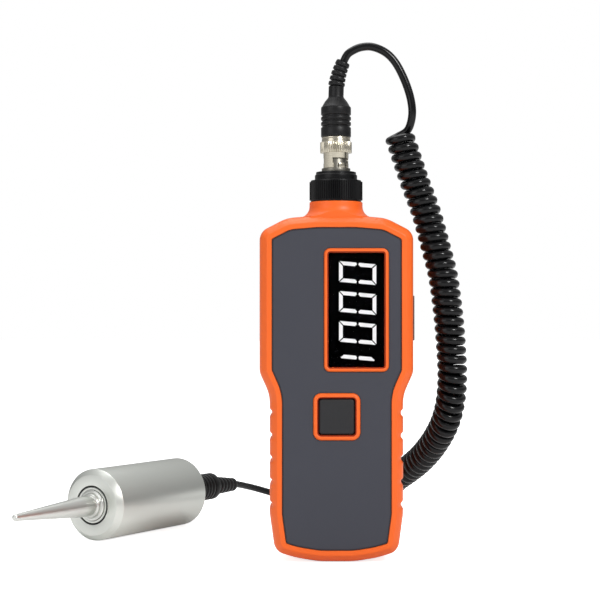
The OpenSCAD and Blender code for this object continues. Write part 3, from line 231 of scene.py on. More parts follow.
def rounded_rect(width: float, height: float, radius: float, steps: int = 8) -> list[Flat]:
    """Makes the outline of a rectangle with round corners, centred on the origin.

    Args:
        width: its width.
        height: its height.
        radius: the corners' radius.
        steps: the steps in each corner.

    Returns:
        The outline's points.
    """
    corners = [(1, 1, 0), (-1, 1, 90), (-1, -1, 180), (1, -1, 270)]
    return [(sx * (width / 2 - radius) + radius * math.cos(math.radians(start + 90 * k / steps)),
             sy * (height / 2 - radius) + radius * math.sin(math.radians(start + 90 * k / steps)))
            for sx, sy, start in corners for k in range(steps + 1)]


def standing(outline: Sequence[Flat], y: float, x: float = 0.0, z: float = 0.0) -> list[Point]:
    """A flat outline as a ring in the plane at y, moved to x and z."""
    return [(x + p[0], y, z + p[1]) for p in outline]


def prism(name: str, outline: Sequence[Flat], y0: float, y1: float, x: float = 0.0,
          z: float = 0.0) -> bpy.types.Object:
    """A straight solid of a flat outline between two planes across Y."""
    return lofted(name, [standing(outline, y0, x, z), standing(outline, y1, x, z)])


def box(name: str, low: Sequence[float], high: Sequence[float]) -> bpy.types.Object:
    """A box between two corners, in millimetres, as a tool for cutting or as a raw form to bevel."""
    outline = [(low[0], low[2]), (high[0], low[2]), (high[0], high[2]), (low[0], high[2])]
    return prism(name, outline, low[1], high[1])


def rod_along(name: str, axis: str, centre: Sequence[float], length: float, radius: float,
              steps: int = 48) -> bpy.types.Object:
    """A round rod from a centre point along X, Y or Z.

    Args:
        name: the piece's name.
        axis: the letter of the axis.
        centre: the middle of the rod's first end.
        length: the rod's length.
        radius: its radius.
        steps: the number of steps round it.

    Returns:
        The new object.
    """
    turn = {"x": Matrix.Rotation(math.pi / 2, 4, "Y"), "y": Matrix.Rotation(-math.pi / 2, 4, "X"),
            "z": Matrix.Identity(4)}[axis]
    return turned(name, [(0, 0), (radius, 0), (radius, length), (0, length)],
                  Matrix.Translation(Vector(centre)) @ turn, steps)


def baked(piece: bpy.types.Object) -> bpy.types.Object:
    """Makes a piece's modifiers part of its mesh.

    Args:
        piece: the piece with its modifiers.

    Returns:
        The same piece with a plain mesh and no modifier.
    """
    done = bpy.data.meshes.new_from_object(piece.evaluated_get(bpy.context.evaluated_depsgraph_get()))
    piece.modifiers.clear()
    old, name = piece.data, piece.name
    piece.data = done
    bpy.data.meshes.remove(old)
    done.name = name
    return piece


def joined(base: bpy.types.Object, tool: bpy.types.Object, how: Join) -> bpy.types.Object:
    """Adds a solid to another, cuts it away, or keeps what both hold.

    Args:
        base: the solid that changes.
        tool: the other solid, which is used up.
        how: what is done.

    Returns:
        The changed solid.
    """
    change = base.modifiers.new(how.name, "BOOLEAN")
    change.operation, change.solver, change.object = how.value, "EXACT", tool
    baked(base)
    bpy.data.objects.remove(tool)
    return base


def cut(base: bpy.types.Object, *tools: bpy.types.Object) -> bpy.types.Object:
    """Cuts each tool out of a solid.

    Args:
        base: the solid.
        tools: the solids to cut away, which are used up.

    Returns:
        The changed solid.
    """
    for tool in tools:
        joined(base, tool, Join.CUT)
    return base


def added(base: bpy.types.Object, *tools: bpy.types.Object) -> bpy.types.Object:
    """Adds each tool to a solid.

    Args:
        base: the solid.
        tools: the solids to add, which are used up.

    Returns:
        The changed solid.
    """
    for tool in tools:
        joined(base, tool, Join.ADD)
    return base


def merged(name: str, *parts: bpy.types.Object) -> bpy.types.Object:
    """Puts several closed forms that only touch into one piece.

    Args:
        name: the new piece's name.
        parts: the forms, which are used up.

    Returns:
        The new piece.
    """
    work = bmesh.new()
    for part in parts:
        work.from_mesh(part.data)
        bpy.data.objects.remove(part)
    mesh = bpy.data.meshes.new(name)
    work.to_mesh(mesh)
    work.free()
    piece = link(name, mesh)
    shade(piece)
    return piece


def refined(frame: dict, node: str, name: str, bevel: float = 0.2, segments: int = 2,
            angle: float = 35.0) -> bpy.types.Object:
    """Copies a CAD node, cleans the copy and rounds its edges.

    Args:
        frame: the loaded frame.
        node: the CAD node, which the copy replaces.
        name: the new piece's name.
        bevel: the width of the edge rounding, in millimetres.
        segments: the steps in that rounding.
        angle: the angle, in degrees, from which an edge is rounded.

    Returns:
        The new piece.
    """
    work = bmesh.new()
    work.from_mesh(frame["nodes"][node].data)
    bmesh.ops.remove_doubles(work, verts=work.verts, dist=2e-6)
    bmesh.ops.dissolve_limit(work, angle_limit=math.radians(0.6), verts=work.verts, edges=work.edges)
    bmesh.ops.recalc_face_normals(work, faces=work.faces)
    mesh = bpy.data.meshes.new(name)
    work.to_mesh(mesh)
    work.free()
    piece = link(name, mesh)
    if bevel > 0:
        edges = piece.modifiers.new("rounded_edges", "BEVEL")
        edges.width, edges.segments = bevel * MM, segments
        edges.limit_method, edges.angle_limit = "ANGLE", math.radians(angle)
        edges.use_clamp_overlap = True
        baked(piece)
    shade(piece, 40)
    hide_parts(node)
    return piece


# ---- Geometry Nodes


class Tree:
    """A Geometry Nodes tree under construction, with named inputs."""

    def __init__(self, name: str, inputs: Sequence[tuple[str, str, object]]) -> None:
        """Starts a tree.

        Args:
            name: the tree's name.
            inputs: for each input its name, its socket type and its first value, or None.
        """
        self.group = bpy.data.node_groups.new(name, "GeometryNodeTree")
        face = self.group.interface
        face.new_socket("Geometry", in_out="INPUT", socket_type="NodeSocketGeometry")
        self.sockets: dict[str, str] = {}
        for label, kind, value in inputs:
            socket = face.new_socket(label, in_out="INPUT", socket_type=kind)
            if value is not None:
                socket.default_value = value
            self.sockets[label] = socket.identifier
        face.new_socket("Geometry", in_out="OUTPUT", socket_type="NodeSocketGeometry")
        self.start = self.group.nodes.new("NodeGroupInput")
        self.end = self.group.nodes.new("NodeGroupOutput")

    def node(self, kind: str, links: dict[str, object] | None = None, **settings: object) -> bpy.types.Node:
        """Adds a node.

        Args:
            kind: the node's type.
            links: for each input socket what feeds it, a socket or a value.
            settings: the node's own settings.

        Returns:
            The node.
        """
        made = self.group.nodes.new(kind)
        for label, value in settings.items():
            setattr(made, label, value)
        for label, value in (links or {}).items():
            self.feed(made.inputs[int(label) if label.isdigit() else label], value)
        return made

    def feed(self, socket: bpy.types.NodeSocket, value: object) -> None:
        """Links a socket to another, or sets its value.

        Args:
            socket: the input socket.
            value: an output socket, or a plain value.
        """
        if isinstance(value, bpy.types.NodeSocket):
            self.group.links.new(value, socket)
        else:
            socket.default_value = value

    def close(self, geometry: bpy.types.NodeSocket) -> bpy.types.NodeTree:
        """Ends the tree in Realize Instances and Set Material.

        Args:
            geometry: the result so far.

        Returns:
            The finished tree.
        """
        real = self.node("GeometryNodeRealizeInstances", {"Geometry": geometry})
        coloured = self.node("GeometryNodeSetMaterial", {
            "Geometry": real.outputs[0], "Material": self.start.outputs["Material"]})
        self.feed(self.end.inputs[0], coloured.outputs[0])
        return self.group

    def run(self, piece: bpy.types.Object, values: dict[str, object]) -> bpy.types.Object:
        """Runs the tree on a piece and keeps the result as a plain mesh.

        Args:
            piece: the piece that carries the tree.
            values: a value for each named input.

        Returns:
            The piece with its new mesh.
        """
        modifier = piece.modifiers.new(self.group.name, "NODES")
        modifier.node_group = self.group
        for label, value in values.items():
            modifier[self.sockets[label]] = value
        piece.update_tag()
        bpy.context.view_layer.update()
        return baked(piece)


def copies_tree() -> Tree:
    """Makes a tree that sets a copy of one object on every point of a piece.

    Returns:
        The tree. The points' own attributes turn and stretch the copies.
    """
    tree = Tree("set_copies", [("Piece", "NodeSocketObject", None), ("Size", "NodeSocketFloat", 1.0),
                               ("Material", "NodeSocketMaterial", None)])
    piece = tree.node("GeometryNodeObjectInfo", {"Object": tree.start.outputs["Piece"]})
    turn = tree.node("GeometryNodeInputNamedAttribute", {"Name": "turn"}, data_type="FLOAT_VECTOR")
    stretch = tree.node("GeometryNodeInputNamedAttribute", {"Name": "stretch"}, data_type="FLOAT_VECTOR")
    sized = tree.node("ShaderNodeVectorMath", {
        "0": stretch.outputs["Attribute"], "Scale": tree.start.outputs["Size"]}, operation="SCALE")
    spin = tree.node("FunctionNodeEulerToRotation", {"Euler": turn.outputs["Attribute"]})
    points = tree.node("GeometryNodeMeshToPoints", {"Mesh": tree.start.outputs["Geometry"]})
    copies = tree.node("GeometryNodeInstanceOnPoints", {
        "Points": points.outputs[0], "Instance": piece.outputs["Geometry"], "Rotation": spin.outputs[0],
        "Scale": sized.outputs[0]})
    tree.close(copies.outputs[0])
    return tree


def knurl_tree() -> Tree:
    """Makes a tree for a ring with teeth along its outside, which stands on the XY plane.

    Returns:
        The tree.
    """
    tree = Tree("knurled_ring", [
        ("Teeth", "NodeSocketInt", 60), ("Radius", "NodeSocketFloat", 0.01),
        ("Tooth Depth", "NodeSocketFloat", 0.0004), ("Bore", "NodeSocketFloat", 0.005),
        ("Height", "NodeSocketFloat", 0.005), ("Lift", "NodeSocketFloat", 0.0),
        ("Material", "NodeSocketMaterial", None)])
    given = tree.start.outputs
    inner = tree.node("ShaderNodeMath", {"0": given["Radius"], "1": given["Tooth Depth"]},
                      operation="SUBTRACT")
    star = tree.node("GeometryNodeCurveStar", {
        "Points": given["Teeth"], "Inner Radius": inner.outputs[0], "Outer Radius": given["Radius"]})
    hole = tree.node("GeometryNodeCurvePrimitiveCircle", {"Resolution": 64, "Radius": given["Bore"]})
    both = tree.node("GeometryNodeJoinGeometry")
    tree.group.links.new(star.outputs["Curve"], both.inputs[0])
    tree.group.links.new(hole.outputs["Curve"], both.inputs[0])
    flat = tree.node("GeometryNodeFillCurve", {"Curve": both.outputs[0]})
    tall = tree.node("GeometryNodeExtrudeMesh", {
        "Mesh": flat.outputs[0], "Offset Scale": given["Height"], "Individual": False})
    under = tree.node("GeometryNodeFlipFaces", {"Mesh": flat.outputs[0]})
    whole = tree.node("GeometryNodeJoinGeometry")
    tree.group.links.new(tall.outputs["Mesh"], whole.inputs[0])
    tree.group.links.new(under.outputs[0], whole.inputs[0])
    sealed = tree.node("GeometryNodeMergeByDistance", {"Geometry": whole.outputs[0], "Distance": 1e-6})
    lift = tree.node("ShaderNodeCombineXYZ", {"Z": given["Lift"]})
    raised = tree.node("GeometryNodeTransform", {
        "Geometry": sealed.outputs[0], "Translation": lift.outputs[0]})
    tree.close(raised.outputs[0])
    return tree


def dotted(name: str, points: Sequence[Sequence[float]], turns: Sequence[Sequence[float]],
           stretches: Sequence[Sequence[float]]) -> bpy.types.Object:
    """Makes loose points that carry attributes for the copies set on them.

    Args:
        name: the new object's name.
        points: the points, in millimetres.
        turns: each copy's turn, in radians.
        stretches: each copy's stretch along its axes.

    Returns:
        The new object.
    """
    mesh = bpy.data.meshes.new(name)
    mesh.from_pydata([Vector(p) * MM for p in points], [], [])
    for label, values in (("turn", turns), ("stretch", stretches)):
        layer = mesh.attributes.new(label, "FLOAT_VECTOR", "POINT")
        layer.data.foreach_set("vector", [c for v in values for c in v])
    return link(name, mesh)


# ---- Materials


def shader_group(name: str, inputs: Sequence[tuple[str, str, object]], outputs: Sequence[tuple[str, str]]
                 ) -> tuple[bpy.types.NodeTree, bpy.types.Node, bpy.types.Node]:
    """Starts a shader node group with named sockets.

    Args:
        name: the group's name.
        inputs: for each input its name, socket type and first value.
        outputs: for each output its name and socket type.

    Returns:
        The group, its input node and its output node.
    """
    group = bpy.data.node_groups.new(name, "ShaderNodeTree")
    for label, kind, value in inputs:
        socket = group.interface.new_socket(label, in_out="INPUT", socket_type=kind)
        if value is not None:
            socket.default_value = value
    for label, kind in outputs:
        group.interface.new_socket(label, in_out="OUTPUT", socket_type=kind)
    return group, group.nodes.new("NodeGroupInput"), group.nodes.new("NodeGroupOutput")


def grain_group() -> bpy.types.NodeTree:
    """Builds the moulded grain.

    Returns:
        A group with a fine height for the bump, and a slow mask for colour and roughness.
    """
    group, start, end = shader_group("moulded_grain", [
        ("Vector", "NodeSocketVector", None), ("Grain Scale", "NodeSocketFloat", 3000.0),
        ("Stain Scale", "NodeSocketFloat", 40.0)],
        [("Height", "NodeSocketFloat"), ("Stain", "NodeSocketFloat")])
    fine, slow = group.nodes.new("ShaderNodeTexNoise"), group.nodes.new("ShaderNodeTexNoise")
    fine.inputs["Detail"].default_value, slow.inputs["Detail"].default_value = 2.0, 3.0
    for noise, scale in ((fine, "Grain Scale"), (slow, "Stain Scale")):
        group.links.new(start.outputs["Vector"], noise.inputs["Vector"])
        group.links.new(start.outputs[scale], noise.inputs["Scale"])
    group.links.new(fine.outputs["Fac"], end.inputs["Height"])
    group.links.new(slow.outputs["Fac"], end.inputs["Stain"])
    return group


def lathe_group() -> bpy.types.NodeTree:
    """Builds the turning marks.

    Returns:
        A group with a height that changes with the distance from the Z axis and along it.
    """
    group, start, end = shader_group("turning_marks", [
        ("Vector", "NodeSocketVector", None), ("Ring Scale", "NodeSocketFloat", 4000.0)],
        [("Height", "NodeSocketFloat")])
    parts = group.nodes.new("ShaderNodeSeparateXYZ")
    flat = group.nodes.new("ShaderNodeCombineXYZ")
    length = group.nodes.new("ShaderNodeVectorMath")
    length.operation = "LENGTH"
    pair = group.nodes.new("ShaderNodeCombineXYZ")
    rings = group.nodes.new("ShaderNodeTexNoise")
    rings.inputs["Detail"].default_value = 3.0
    for a, b in ((start.outputs["Vector"], parts.inputs[0]), (parts.outputs["X"], flat.inputs["X"]),
                 (parts.outputs["Y"], flat.inputs["Y"]), (flat.outputs[0], length.inputs[0]),
                 (length.outputs["Value"], pair.inputs["X"]), (parts.outputs["Z"], pair.inputs["Y"]),
                 (pair.outputs[0], rings.inputs["Vector"]),
                 (start.outputs["Ring Scale"], rings.inputs["Scale"]),
                 (rings.outputs["Fac"], end.inputs["Height"])):
        group.links.new(a, b)
    return group


def tint_group() -> bpy.types.NodeTree:
    """Builds the toned colour.

    Returns:
        A group in which a mask shifts a colour between a darker and a lighter tone.
    """
    group, start, end = shader_group("toned_colour", [
        ("Colour", "NodeSocketColor", (0.5, 0.5, 0.5, 1)), ("Mask", "NodeSocketFloat", 0.5),
        ("Amount", "NodeSocketFloat", 0.1)], [("Colour", "NodeSocketColor")])
    spread = group.nodes.new("ShaderNodeMath")
    spread.operation = "MULTIPLY_ADD"
    centred = group.nodes.new("ShaderNodeMath")
    centred.operation = "SUBTRACT"
    centred.inputs[1].default_value = 0.5
    spread.inputs[2].default_value = 1.0
    tone = group.nodes.new("ShaderNodeVectorMath")
    tone.operation = "SCALE"
    for a, b in ((start.outputs["Mask"], centred.inputs[0]), (centred.outputs[0], spread.inputs[0]),
                 (start.outputs["Amount"], spread.inputs[1]), (start.outputs["Colour"], tone.inputs[0]),
                 (spread.outputs[0], tone.inputs["Scale"]), (tone.outputs[0], end.inputs["Colour"])):
        group.links.new(a, b)
    return group


@dataclass(frozen=True)
class Finish:
    """One surface finish: colour, gloss, grain and how its marks lie."""

    name: str
    colour: Point
    roughness: float
    metallic: float = 0.0
    grain_scale: float = 2600.0
    grain_depth: float = 0.02
    stain_scale: float = 45.0
    tone_amount: float = 0.12
    gloss_spread: float = 0.12
    lay: Lay = Lay.MOULDED
    place: Matrix | None = None
    coat: float = 0.0
    coat_roughness: float = 0.12
    specular: float = 0.5
    transmission: float = 0.0
    ior: float = 1.5
    glow: float = 0.0
    stripes: float = 0.0
    bump_strength: float = 0.6
    least_roughness: float = 0.02

    def made(self, kit: "Paints") -> bpy.types.Material:
        """Builds the node material.

        Args:
            kit: the shared node groups.

        Returns:
            The material.
        """
        material = bpy.data.materials.new(self.name)
        material.use_nodes = True
        nodes, links = material.node_tree.nodes, material.node_tree.links
        shader = nodes["Principled BSDF"]
        place = nodes.new("ShaderNodeTexCoord")
        turn = nodes.new("ShaderNodeMapping")
        if self.place is not None:
            back = self.place.inverted()
            turn.inputs["Location"].default_value = back.translation * MM
            turn.inputs["Rotation"].default_value = back.to_euler()
        links.new(place.outputs["Object"], turn.inputs["Vector"])
        grain = nodes.new("ShaderNodeGroup")
        grain.node_tree = kit.grain
        grain.inputs["Grain Scale"].default_value = self.grain_scale
        grain.inputs["Stain Scale"].default_value = self.stain_scale
        links.new(turn.outputs[0], grain.inputs["Vector"])
        height, mask = grain.outputs["Height"], grain.outputs["Stain"]
        if self.lay is Lay.TURNED:
            rings = nodes.new("ShaderNodeGroup")
            rings.node_tree = kit.lathe
            rings.inputs["Ring Scale"].default_value = self.grain_scale
            links.new(turn.outputs[0], rings.inputs["Vector"])
            height = rings.outputs["Height"]
        if self.stripes > 0:
            bands = nodes.new("ShaderNodeTexWave")
            bands.inputs["Scale"].default_value = self.stripes
            links.new(turn.outputs[0], bands.inputs["Vector"])
            mask = bands.outputs["Fac"]
        tint = nodes.new("ShaderNodeGroup")
        tint.node_tree = kit.tint
        tint.inputs["Colour"].default_value = (*self.colour, 1)
        tint.inputs["Amount"].default_value = self.tone_amount
        links.new(mask, tint.inputs["Mask"])
        links.new(tint.outputs["Colour"], shader.inputs["Base Color"])
        gloss = nodes.new("ShaderNodeMapRange")
        lowest = max(self.roughness - self.gloss_spread / 2, self.least_roughness)
        gloss.inputs["To Min"].default_value = lowest
        gloss.inputs["To Max"].default_value = self.roughness + self.gloss_spread / 2
        links.new(height if self.lay is Lay.TURNED else mask, gloss.inputs["Value"])
        links.new(gloss.outputs["Result"], shader.inputs["Roughness"])
        bump = nodes.new("ShaderNodeBump")
        bump.inputs["Strength"].default_value = self.bump_strength
        bump.inputs["Distance"].default_value = self.grain_depth * MM
        links.new(height, bump.inputs["Height"])
        links.new(bump.outputs["Normal"], shader.inputs["Normal"])
        for label, value in (("Metallic", self.metallic), ("IOR", self.ior),
                             ("Specular IOR Level", self.specular),
                             ("Transmission Weight", self.transmission), ("Coat Weight", self.coat),
                             ("Coat Roughness", self.coat_roughness), ("Emission Strength", self.glow)):
            shader.inputs[label].default_value = value
        shader.inputs["Emission Color"].default_value = WHITE
        return material


# The probe's own frame: its Z axis runs from the case's front face towards the tip
PROBE_FACE = (-116.0, 54.0, 17.25)
PROBE_TURN = 239.0
IN_PROBE = (Matrix.Translation(Vector(PROBE_FACE)) @ Matrix.Rotation(math.radians(PROBE_TURN), 4, "Z")
            @ Matrix.Rotation(math.pi / 2, 4, "Y"))


class Paints:
    """All finishes of the object, built once."""

    def __init__(self) -> None:
        """Builds the shared groups and every material."""
        self.grain, self.lathe, self.tint = grain_group(), lathe_group(), tint_group()
        finishes = [
            Finish("orange_shell", (0.84, 0.125, 0.010), 0.42, grain_scale=2600, grain_depth=0.03,
                   tone_amount=0.05, specular=0.4),
            # Painted shade: a dark orange for the skins on the ridges' inner flanks
            Finish("orange_shade", (0.28, 0.022, 0.004), 0.5, grain_scale=2600, grain_depth=0.03,
                   tone_amount=0.05, specular=0.25),
            Finish("panel_grey", (0.047, 0.049, 0.062), 0.55, grain_scale=5200, grain_depth=0.012,
                   tone_amount=0.08, specular=0.25),
            # Painted shade: the dark band along the panel's edge, for the shadow in the gap at the rim
            Finish("panel_line", (0.012, 0.012, 0.016), 0.5, grain_scale=5200),
            Finish("window_clear", (0.96, 0.96, 0.97), 0.03, transmission=1.0, ior=1.02, specular=0.0,
                   gloss_spread=0.01, grain_depth=0.0005, tone_amount=0.02),
            Finish("window_print", (0.0015, 0.0015, 0.002), 0.8, specular=0.0, tone_amount=0.3),
            Finish("lcd_black", (0.0015, 0.0015, 0.002), 0.9, specular=0.0, stripes=900, tone_amount=0.6),
            Finish("digit_white", (0.3, 0.3, 0.3), 0.5, glow=0.68, specular=0.1, tone_amount=0.02),
            Finish("inner_black", (0.02, 0.02, 0.022), 0.55, grain_scale=1800, grain_depth=0.03),
            Finish("strip_rubber", (0.18, 0.18, 0.22), 0.7, stripes=800, tone_amount=0.9),
            Finish("board_green", (0.008, 0.085, 0.035), 0.32, stain_scale=900, tone_amount=0.7, coat=0.4),
            Finish("chip_black", (0.018, 0.018, 0.02), 0.5, grain_scale=4000, grain_depth=0.02),
            Finish("screw_steel", (0.5, 0.5, 0.5), 0.3, metallic=1.0, grain_scale=3000, grain_depth=0.01),
            Finish("button_grey", (0.022, 0.022, 0.024), 0.5, specular=0.25, grain_scale=3600,
                   grain_depth=0.02, tone_amount=0.15),
            Finish("plunger_white", (0.7, 0.7, 0.68), 0.5),
            Finish("switch_black", (0.02, 0.02, 0.022), 0.5, grain_scale=3400, grain_depth=0.02),
            Finish("knob_white", (0.72, 0.71, 0.68), 0.45, grain_scale=3400, grain_depth=0.02),
            Finish("battery_wrap", (0.05, 0.07, 0.13), 0.3, metallic=0.4, coat=0.5, stain_scale=120),
            Finish("lead_red", (0.45, 0.02, 0.015), 0.5, grain_scale=2000, grain_depth=0.02),
            Finish("nickel", (0.53, 0.49, 0.40), 0.27, metallic=1.0, lay=Lay.TURNED, grain_scale=2500,
                   grain_depth=0.006),
            # Painted shade: a darker copy of the nickel for the socket body, for the shadow in its slots
            Finish("nickel_shaded", (0.2, 0.19, 0.165), 0.4, metallic=1.0, lay=Lay.TURNED, grain_scale=2500,
                   grain_depth=0.006),
            Finish("insulator_white", (0.82, 0.82, 0.8), 0.5, grain_scale=1500),
            Finish("gold_brass", (0.85, 0.6, 0.2), 0.22, metallic=1.0, grain_scale=1500, grain_depth=0.004),
            Finish("connector_black", (0.004, 0.004, 0.0045), 0.32, specular=0.2, grain_scale=3000,
                   grain_depth=0.02, tone_amount=0.3),
            Finish("boot_rubber", (0.006, 0.006, 0.0065), 0.4, specular=0.25, grain_scale=2400,
                   grain_depth=0.02, tone_amount=0.3),
            Finish("cord_black", (0.004, 0.004, 0.0045), 0.2, specular=0.25, gloss_spread=0.08,
                   grain_scale=1800, grain_depth=0.015, tone_amount=0.35),
            Finish("satin_aluminium", (0.68, 0.70, 0.66), 0.36, metallic=1.0, lay=Lay.TURNED,
                   place=IN_PROBE, grain_scale=3200, grain_depth=0.006, gloss_spread=0.06,
                   tone_amount=0.05),
            Finish("polished_steel", (0.66, 0.67, 0.64), 0.32, gloss_spread=0.03, metallic=1.0,
                   lay=Lay.TURNED, place=IN_PROBE, grain_scale=3800, grain_depth=0.0015, tone_amount=0.05),
            # Painted shade: the dark ring in the probe face's groove, for the groove's shadow
            Finish("groove_dark", (0.03, 0.03, 0.03), 0.6, metallic=0.6, lay=Lay.TURNED, place=IN_PROBE),
            Finish("ceramic", (0.75, 0.72, 0.62), 0.35, grain_scale=900),
            Finish("mass_steel", (0.3, 0.3, 0.31), 0.4, metallic=1.0, lay=Lay.TURNED, place=IN_PROBE),
        ]
        self.materials = {f.name: f.made(self) for f in finishes}

    def dress(self, piece: bpy.types.Object, finish: str,
              body: str = "meter") -> bpy.types.Object:
        """Gives a finished piece its finish and the body it rides on.

        Args:
            piece: the piece.
            finish: the finish's name.
            body: the body that carries it.

        Returns:
            The piece.
        """
        piece.data.materials.clear()
        piece.data.materials.append(self.materials[finish])
        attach(piece, body)
        LOG.info("%s: %d faces, %s", piece.name, len(piece.data.polygons), finish)
        return piece


# ---- Housing


@dataclass(frozen=True)
class Opening:
    """A framed opening: its middle, its size, its corners' radius, its ridge's width and the panel's gap."""

    x: float
    z: float
    width: float
    height: float
    corner: float
    ridge_w: float
    gap: float

    def outline(self, out: float = 0.0, steps: int = 8) -> list[Flat]:
        """The outline, a distance outside the opening."""
        return rounded_rect(self.width + 2 * out, self.height + 2 * out, self.corner + out, steps)

    def ring(self, out: float, y: float) -> list[Point]:
        """The outline as a ring in the plane at y."""
        return standing(self.outline(out, 10), y, self.x, self.z)

    def tool(self, name: str, y0: float, y1: float, out: float = 0.0) -> bpy.types.Object:
        """A tool that cuts the opening between two planes."""
        return prism(name, self.outline(out), y0, y1, self.x, self.z)


@dataclass
class Housing:
    """The two orange shells, the inlaid panel and the screws."""

    body_half: float = 34.0
    grip_half: float = 29.5
    waist_z: float = 73.2
    waist_rise: float = 10.0
    chest_h: float = 62.1
    shoulder_rise: float = 7.3
    front_y: float = -15.0
    back_y: float = 15.0
    seam_y: float = 3.0
    panel_inset: float = 5.5
    panel_y: float = -14.5
    floor_y: float = -13.6
    inner_y: float = -11.6
    inner_inset: float = 2.9
    notch_depth: float = 0.95
    notch_pitch: float = 10.1
    notch_low_z: float = 25.23
    notch_count: int = 5
    notch_ends: Flat = (2.6, 2.4)
    notch_steps: int = 90
    grip_corner: int = 3
    neck_r: float = 11.85
    neck_fillet: float = 5.0
    neck_top_z: float = 159.0
    window: Opening = Opening(x=8.6, z=110.8, width=24.7, height=50.4, corner=0.9, ridge_w=1.85, gap=2.0)
    button: Opening = Opening(x=0, z=64.05, width=16.2, height=16.2, corner=1.3, ridge_w=2.2, gap=2.35)
    ridge_rise: float = 1.1
    ridge_steps: int = 14
    sink: float = 0.4
    # The dark band of painted shade along the panel's edge, for the gap where it meets the rim: its plane and
    # insets
    line_y: float = -14.512
    line_in: Flat = (5.85, 6.25)
    # The skin of painted shade on the ridges' inner flanks: how far up it turns, its lift and its steps
    flank_turn: float = 58.0
    flank_skin: float = 0.012
    flank_steps: int = 5
    neck_bore: float = 8.85
    socket_r: float = 4.85
    column_r: float = 4.2
    well_r: float = 3.1
    shank_r: float = 1.5
    front_edge: tuple[Flat, ...] = (
        (0.0, 3.8), (0.03, 3.55), (0.13, 3.32), (0.32, 3.1), (1.1, 2.32), (1.9, 1.58), (2.7, 1.0),
        (3.7, 0.55), (5.0, 0.25), (6.8, 0.07), (9.0, 0.0), (17.7, 0.0), (18.0, 0.3))
    back_edge: tuple[Flat, ...] = (
        (0.0, 5.6), (0.1, 5.1), (0.42, 3.9), (1.0, 2.8), (1.75, 1.85), (2.8, 1.1), (4.2, 0.5), (5.6, 0.15),
        (7.0, 0.0), (11.7, 0.0), (12.0, 0.3))
    switch_openings: tuple[tuple[str, Point, Point], ...] = (
        ("switch_recess", (33, -6.45, 97.25), (40, 0.65, 117.45)),
        ("mode_slot", (29, -4.1, 108.65), (40, -1.7, 115.35)),
        ("range_slot", (29, -4.1, 99.55), (40, -1.7, 104.25)))
    bay_walls: tuple[tuple[str, Point, Point], ...] = (
        ("bay", (-14.75, -5.2, 12.9), (14.75, 13.05, 68.55)),
        ("ledge", (-17.35, 11.8, 12.9), (17.35, 13.05, 71.55)),
        ("left_cheek", (-18.35, 8.8, 7.1), (-15.35, 13.05, 12.9)),
        ("right_cheek", (15.35, 8.8, 7.1), (18.35, 13.05, 12.9)))
    door_room: tuple[Point, Point] = ((-15.35, 13.0, 10), (15.35, 20, 69.85))
    hinge_room: tuple[Point, Point] = ((-15.35, 12.4, 7.1), (15.35, 20, 10.3))
    battery_room: tuple[Point, Point] = ((-13.55, -4.4, 14.1), (13.55, 20, 67.35))
    lead_room: tuple[Point, Point] = ((-8.4, 1, 66), (-4.4, 5, 70))
    hinge_at: Flat = (12.4, 10.0)
    barrel: Flat = (15.35, 2.9)
    pin: Flat = (17.15, 1.07)
    screws: tuple[Flat, ...] = ()
    corners: tuple[tuple[float, float, float, int], ...] = ()
    top_z: float = 0.0

    def __post_init__(self) -> None:
        """Works out the screws' places and the corners of the outline's right half.

        A corner is its place in X and Z, its radius and the steps in it.
        """
        waist_top = self.waist_z + self.waist_rise
        shoulder = waist_top + self.chest_h
        top = shoulder + self.shoulder_rise
        self.top_z = top
        self.screws = tuple((s * x, z) for s in (-1, 1) for x, z in ((24, shoulder - 1.8), (22, 15.5)))
        self.corners = ((8, 0, 40, 4), (18, 1.65, 40, 4), (27.2, 4.4, 6, 10), (self.grip_half, 21, 10, 4),
                        (self.grip_half, self.waist_z, 18, 10), (self.body_half, waist_top, 8, 10),
                        (self.body_half, shoulder, 6, 10), (22, top - 1.1, 16, 6), (9, top, 16, 4))

    def notch_at(self, z: float) -> float:
        """Says how deep the finger notches are at a height.

        Args:
            z: the height.

        Returns:
            A share of their depth, from 0 to 1.
        """
        share = (z - self.notch_low_z) / self.notch_pitch
        k = min(max(round(share), 0), self.notch_count - 1)
        u = share - k
        ramp = min((u + 0.2) / 0.13, (0.17 - u) / 0.12, 1.0)
        ramp = max(ramp, 0.0)
        return ramp * ramp * (3 - 2 * ramp)

    def outline(self, inset: float, notch: float = 0.0) -> list[Flat]:
        """Makes the housing's outline.

        Args:
            inset: how far it is moved in.
            notch: how much of the notches' depth it has, from 0 to 1.

        Returns:
            The outline's points, in X and Z.
        """
        right = self.corners
        whole = [Vector(c[:2]) for c in right] + [Vector((-c[0], c[1])) for c in reversed(right)]
        n = len(whole)

        def out_of(a: Vector, b: Vector) -> Vector:
            """The outward direction of a side."""
            u = (b - a).normalized()
            return Vector((u.y, -u.x))

        def moved(i: int) -> Vector:
            """Moves one corner in.

            Args:
                i: the corner's number.

            Returns:
                Its new place.
            """
            a, b, c = whole[i - 1], whole[i % n], whole[(i + 1) % n]
            s, t = out_of(a, b), out_of(b, c)
            return b - inset * (s + t) / (1 + s.dot(t))

